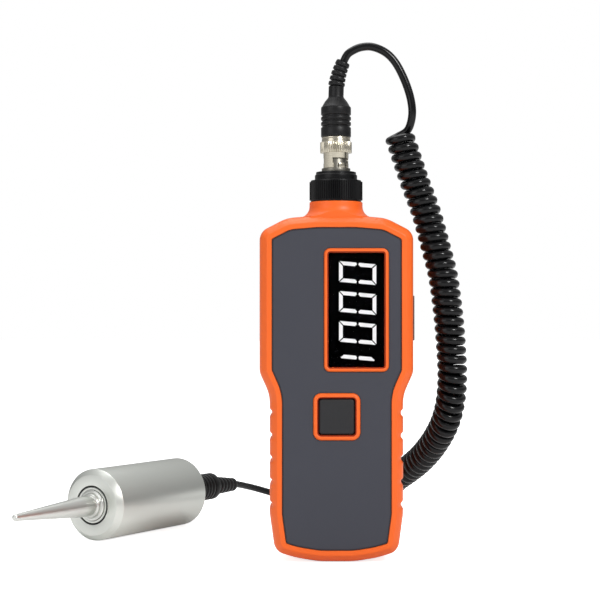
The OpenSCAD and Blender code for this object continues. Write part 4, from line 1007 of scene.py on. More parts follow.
        half: list[Flat] = []
        for i, (_, _, radius, steps) in enumerate(right):
            a, b, c = moved(i - 1 if i else n - 1), moved(i), moved(i + 1)
            turn = (b - a).x * (c - b).y - (b - a).y * (c - b).x
            r = max(radius - inset, 1.1) if turn > 0 else radius + inset
            u, v = (a - b).normalized(), (c - b).normalized()
            bend = math.acos(max(-1.0, min(1.0, u.dot(v)))) / 2
            mid = b + (u + v).normalized() * r / math.sin(bend)
            start, end = b + u * r / math.tan(bend), b + v * r / math.tan(bend)
            from_a = math.atan2(start.y - mid.y, start.x - mid.x)
            to_a = math.atan2(end.y - mid.y, end.x - mid.x)
            sweep = (to_a - from_a + 3 * math.pi) % (2 * math.pi) - math.pi
            turns = [from_a + sweep * k / steps for k in range(steps + 1)]
            half += [(mid.x + r * math.cos(a), mid.y + r * math.sin(a)) for a in turns]
            if i == self.grip_corner:
                low = self.notch_low_z - self.notch_ends[0]
                high = self.notch_low_z + (self.notch_count - 1) * self.notch_pitch + self.notch_ends[1]
                heights = [low + (high - low) * k / self.notch_steps for k in range(self.notch_steps + 1)]
                half += [(self.grip_half - inset - self.notch_depth * notch * self.notch_at(z), z)
                         for z in heights]
        return half + [(-x, z) for x, z in reversed(half)]

    def notch_share(self, depth: float, reach: float) -> float:
        """How much of the notches' depth shows at a depth from the face."""
        return min(max((depth - 0.3) / reach, 0.0), 1.0)

    def ridge(self, name: str, opening: Opening) -> bpy.types.Object:
        """Makes a half-round ridge that stands on the panel's floor round an opening.

        Args:
            name: the piece's name.
            opening: the opening.

        Returns:
            The ridge.
        """
        foot = self.floor_y + self.sink
        rings = [opening.ring(0, foot)]
        for k in range(self.ridge_steps + 1):
            turn = math.pi * k / self.ridge_steps
            rings.append(opening.ring(opening.ridge_w / 2 * (1 - math.cos(turn)),
                                      self.panel_y - self.ridge_rise * math.sin(turn)))
        return lofted(name, [*rings, opening.ring(opening.ridge_w, foot)], closed=True)

    def flank(self, name: str, opening: Opening) -> bpy.types.Object:
        """Makes a skin of painted shade on a ridge's inner flank, from the opening's edge up towards the crest.

        Args:
            name: the piece's name.
            opening: the opening.

        Returns:
            The skin.
        """
        rings = []
        upward = list(range(self.flank_steps + 1))
        for lift, order in ((self.flank_skin, upward), (-4 * self.flank_skin, upward[::-1])):
            for k in order:
                turn = math.radians(self.flank_turn) * k / self.flank_steps
                out = opening.ridge_w / 2 * (1 - math.cos(turn)) - lift * math.cos(turn)
                rings.append(opening.ring(out, self.panel_y - (self.ridge_rise + lift) * math.sin(turn)))
        return lofted(name, rings, closed=True)

    def neck(self, y0: float, y1: float) -> bpy.types.Object:
        """Makes one half of the round neck, with the flare at its foot.

        Args:
            y0: the plane where the half begins.
            y1: the plane where it ends.

        Returns:
            The half.
        """
        foot = self.top_z - 0.55
        flare = [(self.neck_r + self.neck_fillet * (1 - math.sin(math.radians(a))),
                  foot + self.neck_fillet * (1 - math.cos(math.radians(a)))) for a in range(0, 91, 9)]
        top = rounded([flare[-1], (self.neck_r, self.neck_top_z), (0, self.neck_top_z)], 0.5)
        low = self.top_z - self.neck_fillet
        whole = turned("neck", [(0, low), (self.neck_r + self.neck_fillet, low), *flare[:-1], *top],
                       steps=128)
        return joined(whole, box("neck_room", (-40, y0, 100), (40, y1, 200)), Join.KEEP)

    def neck_holes(self) -> list[bpy.types.Object]:
        """The neck's hollow and the hole for the socket, as tools for cutting."""
        return [rod_along("neck_hollow", "z", (0, 0, 144.6), 10.9, self.neck_bore),
                rod_along("socket_hole", "z", (0, 0, 150), 20, self.socket_r)]

    def front(self) -> bpy.types.Object:
        """Makes the front shell with its recess, ridges, openings and switch recess.

        Returns:
            The shell.
        """
        shell = lofted("front_housing", [standing(self.outline(i, self.notch_share(d, 4.5)), self.front_y + d)
                                         for d, i in self.front_edge])
        inner = [standing(self.outline(i), y) for y, i in (
            (self.inner_y, self.panel_inset), (self.inner_y + 2.2, self.inner_inset),
            (self.seam_y + 1, self.inner_inset))]
        recess = [standing(self.outline(self.panel_inset - i), y) for y, i in (
            (self.floor_y, 0), (self.front_y + 0.3, 0), (self.front_y + 0.08, 0.1), (self.front_y, 0.3),
            (self.front_y - 3, 0.5))]
        cut(shell, lofted("recess", recess), lofted("hollow", inner))
        added(shell, self.neck(-self.neck_r - 0.6, self.seam_y))
        cut(shell, *self.neck_holes())
        window = self.window
        for name, opening in self.openings().items():
            added(shell, self.ridge(f"{name}_ridge", opening))
        cut(shell, window.tool("window_seat", -20, -12.7),
            prism("window_hole", rounded_rect(window.width - 2, window.height - 2, 0.3), -20, -5,
                  window.x, window.z),
            self.button.tool("button_hole", -20, -5),
            *(box(*opening) for opening in self.switch_openings))
        return shell

    def openings(self) -> dict[str, Opening]:
        """The two framed openings by name."""
        return {"window": self.window, "button": self.button}

    def rear(self) -> bpy.types.Object:
        """Makes the rear shell with its screw wells, battery bay and the door's recess.

        Returns:
            The shell.
        """
        shell = lofted("rear_housing", [standing(self.outline(i, self.notch_share(d, 3.5)), self.back_y - d)
                                        for d, i in self.back_edge])
        inner = [standing(self.outline(i), y) for y, i in (
            (self.seam_y - 1, self.inner_inset), (10.8, self.inner_inset), (13.0, 6.5))]
        cut(shell, lofted("hollow", inner))
        added(shell, self.neck(self.seam_y, self.neck_r + 0.6))
        cut(shell, *self.neck_holes())
        for x, z in self.screws:
            added(shell, rod_along("column", "y", (x, self.seam_y, z), 10.5, self.column_r))
        added(shell, *(box(*wall) for wall in self.bay_walls))
        for x, z in self.screws:
            cut(shell, rod_along("shank_room", "y", (x, 0, z), 20, self.shank_r),
                rod_along("well", "y", (x, 11.5, z), 10, self.well_r))
        cut(shell, box("door_room", *self.door_room), box("hinge_room", *self.hinge_room),
            *(rod_along("hinge_pin_room", "x", (-half, *self.hinge_at), 2 * half, r)
              for half, r in (self.barrel, self.pin)),
            box("battery_room", *self.battery_room), box("lead_room", *self.lead_room))
        return shell

    def panel(self) -> bpy.types.Object:
        """Makes the inlaid grey panel.

        Returns:
            The panel.
        """
        rings = [standing(self.outline(i), y) for y, i in (
            (self.floor_y, 5.65), (self.panel_y + 0.15, 5.65), (self.panel_y, 5.8), (self.panel_y, 6.25))]
        panel = lofted("inlaid_panel", rings)
        cut(panel, *(opening.tool(f"{name}_room", -20, -10, opening.gap)
                     for name, opening in self.openings().items()))
        shade(panel, 20)
        return panel

    def build(self, frame: dict, paints: Paints) -> None:
        """Makes and dresses the shells, the panel and the screws.

        Args:
            frame: the loaded frame.
            paints: the finishes.
        """
        for shell, node in ((self.front(), "front_shell"), (self.rear(), "rear_shell")):
            shade(shell, 30)
            even = shell.modifiers.new("even_shading", "WEIGHTED_NORMAL")
            even.keep_sharp = True
            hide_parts(node)
            paints.dress(shell, "orange_shell")
        panel = self.panel()
        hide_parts("front_panel")
        paints.dress(panel, "panel_grey")
        # A dark band of painted shade along the panel's edge stands in for the shadow in the gap at the rim
        outer, inner = self.line_in
        under = self.panel_y + 0.05
        line = lofted("panel_edge_line", [standing(self.outline(i), y) for y, i in (
            (self.line_y, outer), (self.line_y, inner), (under, inner), (under, outer))], closed=True)
        paints.dress(line, "panel_line")
        # Each ridge's inner flank gets a skin of painted shade
        for name, opening in self.openings().items():
            paints.dress(self.flank(f"{name}_flank", opening), "orange_shade")
        paints.dress(refined(frame, "housing_screws", "shell_screws", 0.15), "screw_steel")


# ---- Display


@dataclass
class Display:
    """The window, the dark print round it and the lit digits."""

    x: float
    z: float
    width: float = 24.4
    height: float = 50.1
    corner: float = 0.75
    front_y: float = -14.2
    back_y: float = -12.86
    print_w: float = 2.2
    print_corner: float = 0.4
    print_y: Flat = (-12.84, -12.74)
    digit_y: float = -11.75
    digit_t: float = 0.14
    digit_h: float = 16.9
    digit_w: float = 9.6
    one_at: float = 1.5
    digit_shift: float = 0.65
    row_start: float = 21.8
    pitch: float = 13.15
    bar_w: float = 2.15
    bar_gap: float = 0.5
    slant: float = 0.09

    def bar(self, corners: Sequence[Flat], shift: float) -> bpy.types.Object:
        """Makes one lit bar: its corners moved in by half the gap, slanted and turned on its side.

        Args:
            corners: the bar's corners in an upright digit.
            shift: how far the digit's left side lies from its place.

        Returns:
            The bar.
        """
        points = [Vector(c) for c in corners]
        n = len(points)
        inner = []
        for i, b in enumerate(points):
            u, v = (b - points[i - 1]).normalized(), (points[(i + 1) % n] - b).normalized()
            s, t = Vector((-u.y, u.x)), Vector((-v.y, v.x))
            inner.append(b + self.bar_gap / 2 * (s + t) / (1 + s.dot(t)))
        side = [(p.y, -(shift + p.x + (p.y + self.digit_h / 2) * self.slant)) for p in inner]
        return prism("bar", side[::-1], 0, self.digit_t)

    def bars(self) -> tuple[list[list[Flat]], list[list[Flat]]]:
        """Works out the bars' corners about the digit's middle height.

        Returns:
            A zero's six bars, and a one's two.
        """
        w, h, b = self.digit_w, self.digit_h / 2, self.bar_w
        right = [(w, 0.25 * b), (w, h), (w - b, h - b), (w - b, 0.5 * b), (w - b / 2, 0)]
        left = [(w - x, z) for x, z in right[::-1]]
        top = [(w, h), (0, h), (b, h - b), (w - b, h - b)]
        upper = [right, left, top]
        lower = [[(x, -z) for x, z in bar[::-1]] for bar in upper]
        one = [(w, 0.25 * b), (w, h - 0.6 * b), (w - 0.3 * b, h - 0.3 * b), (w - b, h - 1.1 * b),
               (w - b, 0.3 * b), (w - b / 2, 0)]
        return upper + lower, [one, [(x, -z) for x, z in one[::-1]]]

    def rows(self, paints: Paints, copies: Tree) -> bpy.types.Object:
        """Makes the four digits: copies of one zero, and a one.

        Args:
            paints: the finishes.
            copies: the tree that sets copies.

        Returns:
            The digits as one piece.
        """
        zero_bars, one_bars = self.bars()
        zero = merged("zero", *(self.bar(c, 0) for c in zero_bars))
        one = merged("one", *(self.bar(c, self.one_at - self.digit_w + self.bar_w) for c in one_bars))
        rows = []
        for digit, places in ((zero, (0, 1, 2)), (one, (3,))):
            spots = [(self.x + self.digit_shift, self.digit_y, self.z + self.row_start - i * self.pitch)
                     for i in places]
            rows.append(copies.run(dotted("row", spots, [(0, 0, 0)] * len(spots), [(1, 1, 1)] * len(spots)), {
                "Piece": digit, "Size": 1.0, "Material": paints.materials["digit_white"]}))
            bpy.data.objects.remove(digit)
        return merged("lit_digits", *rows)

    def build(self, paints: Paints, copies: Tree) -> None:
        """Makes and dresses the display's pieces.

        Args:
            paints: the finishes.
            copies: the tree that sets copies.
        """
        lens = lofted("window_lens", [
            standing(rounded_rect(self.width - 2 * i, self.height - 2 * i, self.corner - i), y, self.x, self.z)
            for y, i in ((self.back_y, 0), (self.front_y + 0.25, 0), (self.front_y + 0.07, 0.07),
                         (self.front_y, 0.25))])
        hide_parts("display_window")
        paints.dress(lens, "window_clear")
        inner = rounded_rect(self.width - 2 * self.print_w, self.height - 2 * self.print_w, self.print_corner)
        outer = rounded_rect(self.width, self.height, self.corner)
        near, far = self.print_y
        rim = lofted("window_print", [standing(o, y, self.x, self.z) for o, y in (
            (inner, near), (outer, near), (outer, far), (inner, far))], closed=True)
        paints.dress(rim, "window_print")
        digits = self.rows(paints, copies)
        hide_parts("lcd_digits")
        paints.dress(digits, "digit_white")


# ---- Controls


@dataclass
class Controls:
    """The measure button, the side switch plate and its two knobs."""

    button_z: float
    cap_w: float = 15.6
    cap_corner: float = 1.4
    cap_y: float = -14.7
    flange_y: float = -11.45
    base_y: float = -10.25
    dish: float = 0.28
    dish_steps: int = 8
    face_inset: float = 0.8
    flange: float = 1.5

    def cap(self) -> bpy.types.Object:
        """Makes the square cap with rounded edges, a shallow dish and a flange under it.

        Returns:
            The cap.
        """
        levels = [(y, self.cap_w - 2 * inset, self.cap_corner - max(inset, 0)) for y, inset in (
            (self.base_y, -self.flange), (self.flange_y, -self.flange), (self.flange_y - 0.01, 0),
            (self.cap_y + 1.0, 0), (self.cap_y + 0.5, 0.12), (self.cap_y + 0.18, 0.35),
            (self.cap_y, self.face_inset))]
        shares = [1 - k / self.dish_steps for k in range(1, self.dish_steps + 1)]
        face, corner = self.cap_w - 2 * self.face_inset, self.cap_corner - self.face_inset
        levels += [(self.cap_y + self.dish * (1 - share ** 2), max(face * share, 0.02),
                    max(corner * share, 0.005)) for share in shares]
        return lofted("button_cap", [standing(rounded_rect(side, side, corner, 6), y, 0, self.button_z)
                                     for y, side, corner in levels], angle=40)

    def build(self, frame: dict, paints: Paints) -> None:
        """Makes and dresses the controls.

        Args:
            frame: the loaded frame.
            paints: the finishes.
        """
        cap = self.cap()
        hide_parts("measure_button")
        paints.dress(cap, "button_grey", body="button")
        paints.dress(refined(frame, "switch_plate", "side_plate", 0.18), "switch_black")
        paints.dress(refined(frame, "mode_knob", "mode_slider", 0.15), "knob_white", body="mode_slide")
        paints.dress(refined(frame, "range_knob", "range_slider", 0.15), "knob_white", body="range_slide")


# ---- Battery


@dataclass
class BatteryBay:
    """The battery, its snap and the door."""

    door_bevel: float = 0.35

    def build(self, frame: dict, paints: Paints) -> None:
        """Makes and dresses the battery's pieces.

        Args:
            frame: the loaded frame.
            paints: the finishes.
        """
        paints.dress(refined(frame, "battery_door", "bay_door", self.door_bevel, 3), "orange_shell", body="door")
        paints.dress(refined(frame, "battery", "block_battery", 0.5, 3), "battery_wrap")
        paints.dress(refined(frame, "battery_snap", "battery_cap", 0.3), "inner_black")


# ---- Connector


def grooved(at: float, radius: float, edge: Sequence[Flat]) -> list[Flat]:
    """Makes the profile of a groove round a boot.

    Args:
        at: the groove's middle along the boot.
        radius: the boot's radius beside it.
        edge: from its edge inwards, each point's distance from the middle and its depth.

    Returns:
        The places along the boot with their radii.
    """
    return ([(at - reach, radius - depth) for reach, depth in edge]
            + [(at + reach, radius - depth) for reach, depth in reversed(edge)])


@dataclass
class Connector:
    """The rings on the neck, the bayonet socket and plug, and the plug's boot."""

    neck_top: float
    lock_r: float = 11.85
    lock_h: float = 9.8
    lock_bore: float = 8.17
    lock_gap: float = 0.15
    plain_inset: float = 0.55
    plain_h: float = 0.7
    teeth: int = 72
    tooth_depth: float = 0.45
    adapter_r: float = 9.45
    adapter_h: float = 3.6
    adapter_bore: float = 4.75
    adapter_core_r: float = 8.1
    boot_rise: float = 29.0
    boot_r: float = 6.7
    boot_h: float = 13.8
    grooves: tuple[float, ...] = (0.35, 0.52, 0.69)
    groove_edge: tuple[Flat, ...] = ((0.65, 0.0), (0.45, 0.1), (0.3, 0.55))
    throat: tuple[Flat, ...] = (
        (-0.8, 6.7), (-0.3, 6.58), (0, 6.2), (2, 5.1), (3.7, 3.75), (4.2, 3.45), (4.6, 3.4), (8.9, 3.4))
    relief_at: float = 7.6
    relief_l: float = 12.9
    relief_core_r: float = 2.7
    ring_count: int = 5
    ring_r: float = 3.7
    ring_taper: float = 0.55
    ring_start: float = 1.6
    ring_spread: float = 0.88
    ring_shape: tuple[Flat, ...] = ((0.1, 0.12), (0.16, 0.0), (0.6, 0.05), (0.68, 0.18))
    ring_end: float = 0.76
    lean_low: float = 5.0
    lean_top: float = 25.0

    def lock_ring(self, paints: Paints, knurls: Tree) -> bpy.types.Object:
        """Makes the knurled black ring: a toothed band between two plain rounded ends.

        Args:
            paints: the finishes.
            knurls: the tree that makes toothed rings.

        Returns:
            The ring.
        """
        low, high = self.neck_top + self.lock_gap, self.neck_top + self.lock_h - self.lock_gap
        bore, plain = self.lock_bore, self.lock_r - self.plain_inset
        core = turned_ring("core", [(bore, low), (plain, low), (plain, high), (bore, high)], 0.3)
        band = knurls.run(dotted("band", [(0, 0, 0)], [(0, 0, 0)], [(1, 1, 1)]), {
            "Teeth": self.teeth, "Radius": self.lock_r * MM, "Tooth Depth": self.tooth_depth * MM,
            "Bore": (plain - 0.3) * MM, "Height": (high - low - 2 * self.plain_h) * MM,
            "Lift": (low + self.plain_h) * MM, "Material": paints.materials["connector_black"]})
        return merged("lock_ring_knurled", core, band)

    def boot_path(self) -> tuple[list[Vector], list[float]]:
        """Works out the boot's course.

        Returns:
            Its centreline, and its radius at each point of it.
        """
        z = self.neck_top + self.boot_rise
        marks: list[Flat] = [(0, self.boot_r - 0.45), (0.15, self.boot_r - 0.12), (0.5, self.boot_r)]
        for share in self.grooves:
            marks += grooved(share * self.boot_h, self.boot_r, self.groove_edge)
        marks += [(self.boot_h + at, radius) for at, radius in self.throat]
        joint, length, core = self.boot_h + self.relief_at, self.relief_l, self.relief_core_r
        step = length / self.ring_count
        for i in range(self.ring_count):
            radius = self.ring_r - self.ring_taper * i / self.ring_count
            start = joint + self.ring_start + step * i * self.ring_spread
            marks += [(start, core), *((start + step * at, radius - less) for at, less in self.ring_shape),
                      (start + step * self.ring_end, core)]
        marks += [(joint + length - 0.3, 3.1), (joint + length - 0.05, 3.0), (joint + length, core)]
        path, radii = [], []
        low, spread = math.radians(self.lean_low), math.radians(self.lean_top - self.lean_low)
        for at, radius in sorted(marks):
            over = max(at - joint, 0.0)
            turn = low + spread * over / length / 2 if over > 0 else 0.0
            path.append(Vector((math.sin(turn) * over, 0, z + min(at, joint) + math.cos(turn) * over)))
            radii.append(radius)
        return path, radii

    def build(self, frame: dict, paints: Paints, knurls: Tree) -> None:
        """Makes and dresses the connector's pieces.

        Args:
            frame: the loaded frame.
            paints: the finishes.
            knurls: the tree that makes toothed rings.
        """
        lock = self.lock_ring(paints, knurls)
        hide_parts("lock_ring")
        paints.dress(lock, "connector_black", body="lock_ring")
        low, high = self.neck_top + self.lock_h, self.neck_top + self.lock_h + self.adapter_h
        bore, core, wide = self.adapter_bore, self.adapter_core_r, self.adapter_r
        step = turned_ring("stepped_ring", [
            (bore, self.neck_top), (core, self.neck_top), (core, low), (wide, low), (wide, low + 2.2),
            (wide - 0.5, low + 2.5), (wide - 0.5, high), (bore, high)], 0.25)
        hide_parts("adapter_ring")
        paints.dress(step, "connector_black")
        # The socket body gets the darker nickel, painted shade for the shadow in its slots
        paints.dress(refined(frame, "socket_body", "bayonet_socket", 0.12), "nickel_shaded")
        paints.dress(refined(frame, "bayonet_sleeve", "bayonet_grip", 0.12), "nickel", body="bayonet_sleeve")
        paints.dress(refined(frame, "plug_body", "plug_shell", 0.1), "nickel")
        path, radii = self.boot_path()
        boot = tube("plug_boot_moulded", path, radii, 56)
        shade(boot, 50)
        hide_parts("plug_boot")
        paints.dress(boot, "boot_rubber")


# ---- Cord


def tube(name: str, path: Sequence[Vector], radius: float | Sequence[float], sides: int) -> bpy.types.Object:
    """A round tube along a path.

    Args:
        name: the piece's name.
        path: the centreline's points, in millimetres.
        radius: one radius, or one for each point.
        sides: the number of sides.

    Returns:
        The new object.
    """
    radii = [radius] * len(path) if isinstance(radius, (int, float)) else list(radius)
    last = len(path) - 1
    rings = []
    across: Vector | None = None
    for i, point in enumerate(path):
        along = (path[min(i + 1, last)] - path[max(i - 1, 0)]).normalized()
        if across is None:
            across = along.cross(Vector((1, 0, 0)) if abs(along.z) > 0.9 else Vector((0, 0, 1))).normalized()
        across = (across - across.dot(along) * along).normalized()
        side = along.cross(across)
        rings.append([point + radii[i] * (math.cos(a) * across + math.sin(a) * side)
                      for a in (-2 * math.pi * k / sides for k in range(sides))])
    return lofted(name, rings, angle=60)


def eased(t: float) -> float:
    """A smooth step from 0 to 1."""
    c = min(max(t, 0.0), 1.0)
    return c * c * (3 - 2 * c)


def smooth(points: Sequence[Vector], steps: int) -> list[Vector]:
    """Draws a smooth curve through points.

    Args:
        points: the points.
        steps: the steps between two of them.

    Returns:
        The curve's points.
    """
    last = len(points) - 1
    out = []
    for i in range(last):
        a, b, c, d = points[max(i - 1, 0)], points[i], points[i + 1], points[min(i + 2, last)]
        for k in range(steps):
            t = k / steps
            out.append(0.5 * (2 * b + (c - a) * t + (2 * a - 5 * b + 4 * c - d) * t * t
                              + (3 * b - a - 3 * c + d) * t ** 3))
    return [*out, points[last]]


@dataclass
class Cord:
    """The curly cord from the plug to the probe, as one unbroken tube."""

    diameter: float = 3.6
    curl_r: float = 4.8
    coil_d: float = 3.95
    curl_gap: float = 0.55
    ramp: float = 11.0
    stretch: float = 1.0
    start_lean: float = 28.0
    end_lean: float = 3.0
    most_bend: float = 0.2
    axis_steps: int = 12
    points_per_curl: int = 22
    plain_steps: int = 5
    swell: int = 24
    sides: int = 14
    start: Vector = field(default_factory=lambda: Vector((3.34, 0, 221.86)))
    end: Vector = field(default_factory=lambda: Vector((-52.67, 159.4, 16.15)))
    arc: tuple[Point, ...] = (
        (7.5, 0, 226.9), (11.2, 0, 228.4), (16.2, 0, 228.6), (22, 0, 226.2), (26.5, 0, 221.7),
        (30.3, 0, 214.6), (33, 0, 207), (34.1, 0.1, 200.3), (33.6, 1.1, 195), (31.9, 3.2, 191.2))
    axis: tuple[Point, ...] = (
        (28.1, 0, 189), (29.7, 0, 184.6), (31.2, 0, 180), (32.9, 0, 175), (35, 0, 168.7), (38.3, 0, 160),
        (41, 0, 152), (44.4, 0, 139.5), (47.8, 0, 126), (50.1, 0, 109), (51.4, 1, 95), (52.2, 3, 81),
        (51.8, 7, 70), (50.3, 13, 61), (47.8, 21, 53.5), (44.5, 31, 46.5), (40.7, 41, 40.5),
        (36.5, 51, 35.4), (31, 62, 29.8), (25, 72, 23), (18, 81, 16.3), (11, 89, 11), (4, 97, 8), (-1, 103, 5.5))
    tail: tuple[Point, ...] = (
        (-8, 115, 2.2), (-11, 128, 2), (-13, 142, 2), (-13, 156, 2), (-14, 169, 2.6), (-18, 178, 4),
        (-26, 183, 7), (-35, 181, 10), (-43, 174, 13))

    def curls(self) -> tuple[list[Vector], Vector]:
        """Winds the curled length round its axis.

        Returns:
            Its centreline, and the direction in which it ends.
        """
        axis = smooth([Vector(p) for p in self.axis], self.axis_steps)
        n = len(axis)
        along = [(axis[min(i + 1, n - 1)] - axis[max(i - 1, 0)]).normalized() for i in range(n)]
        side = [-along[0].cross(Vector((1, 0, 0))).normalized()]
        for t in along[1:]:
            side.append((side[-1] - side[-1].dot(t) * t).normalized())
        run = [0.0]
        for a, b in zip(axis, axis[1:]):
            run.append(run[-1] + (b - a).length)
        turn = [0.0]
        for i in range(n - 1):
            bend = 0.0
            if 1 <= i <= n - 2:
                bend = (along[i + 1] - along[i - 1]).length / (axis[i + 1] - axis[i - 1]).length / 2
            pitch = (self.diameter + self.curl_gap) / (1 - min(self.curl_r * bend, self.most_bend))
            pitch *= 1 + self.stretch * (1 - eased((run[-1] - run[i]) / self.ramp))
            turn.append(turn[-1] + 2 * math.pi * (run[i + 1] - run[i]) / pitch)
        points = []
        at = 0
        count = int(turn[-1] / (2 * math.pi) * self.points_per_curl)
        for k in range(count):
            angle = 2 * math.pi * k / self.points_per_curl
            while turn[at + 1] < angle:
                at += 1
            share = (angle - turn[at]) / (turn[at + 1] - turn[at])
            place, t = axis[at].lerp(axis[at + 1], share), along[at].lerp(along[at + 1], share).normalized()
            across = side[at].lerp(side[at + 1], share)
            across = (across - across.dot(t) * t).normalized()
            gone = run[at] + share * (run[at + 1] - run[at])
            r = self.curl_r * eased((run[-1] - gone) / self.ramp)
            points.append(place + r * (math.cos(angle) * across - math.sin(angle) * t.cross(across)))
        return [*points, axis[-1]], along[-1]

    def path(self) -> list[Vector]:
        """Joins the arc, the curls and the tail.

        Returns:
            The whole centreline from the plug's relief to the probe's.
        """
        curls, onward = self.curls()
        d = self.diameter
        lean = math.radians(self.start_lean)
        up = Vector((math.sin(lean), 0, math.cos(lean)))
        drop, turn = math.radians(self.end_lean), math.radians(PROBE_TURN)
        away = Vector((-math.cos(drop) * math.cos(turn), -math.cos(drop) * math.sin(turn), -math.sin(drop)))
        lead = smooth([self.start, self.start + d * up, *(Vector(p) for p in self.arc), *curls[:3]],
                      self.plain_steps)
        coil_end = curls[-1]
        tail = smooth([coil_end, coil_end + d * onward, *(Vector(p) for p in self.tail), self.end + d * away,
                       self.end], self.plain_steps)
        return [*lead[:(len(self.arc) + 2) * self.plain_steps], *curls, *tail[1:]]

    def build(self, paints: Paints) -> bpy.types.Object:
        """Makes and dresses the cord.

        Args:
            paints: the finishes.

        Returns:
            The cord.
        """
        path = self.path()
        first = (len(self.arc) + 2) * self.plain_steps
        last = len(path) - (len(self.tail) + 3) * self.plain_steps
        plain, coiled = self.diameter / 2, self.coil_d / 2
        radii = [plain + (coiled - plain) * eased((i - first) / self.swell) * eased((last - i) / self.swell)
                 for i in range(len(path))]
        cord = tube("curly_cord", path, radii, self.sides)
        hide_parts("cord_arc", "cord_coil", "cord_tail")
        paints.dress(cord, "cord_black")
        return cord

    def declare(self, cord: bpy.types.Object, pieces: Sequence[bpy.types.Object]) -> None:
        """Works out the free cord's centreline in metres and does nothing more with it.

        Args:
            cord: the cord; not used.
            pieces: the separate pieces on it; not used.
        """
        path = [p * MM for p in self.path()]


# ---- Probe


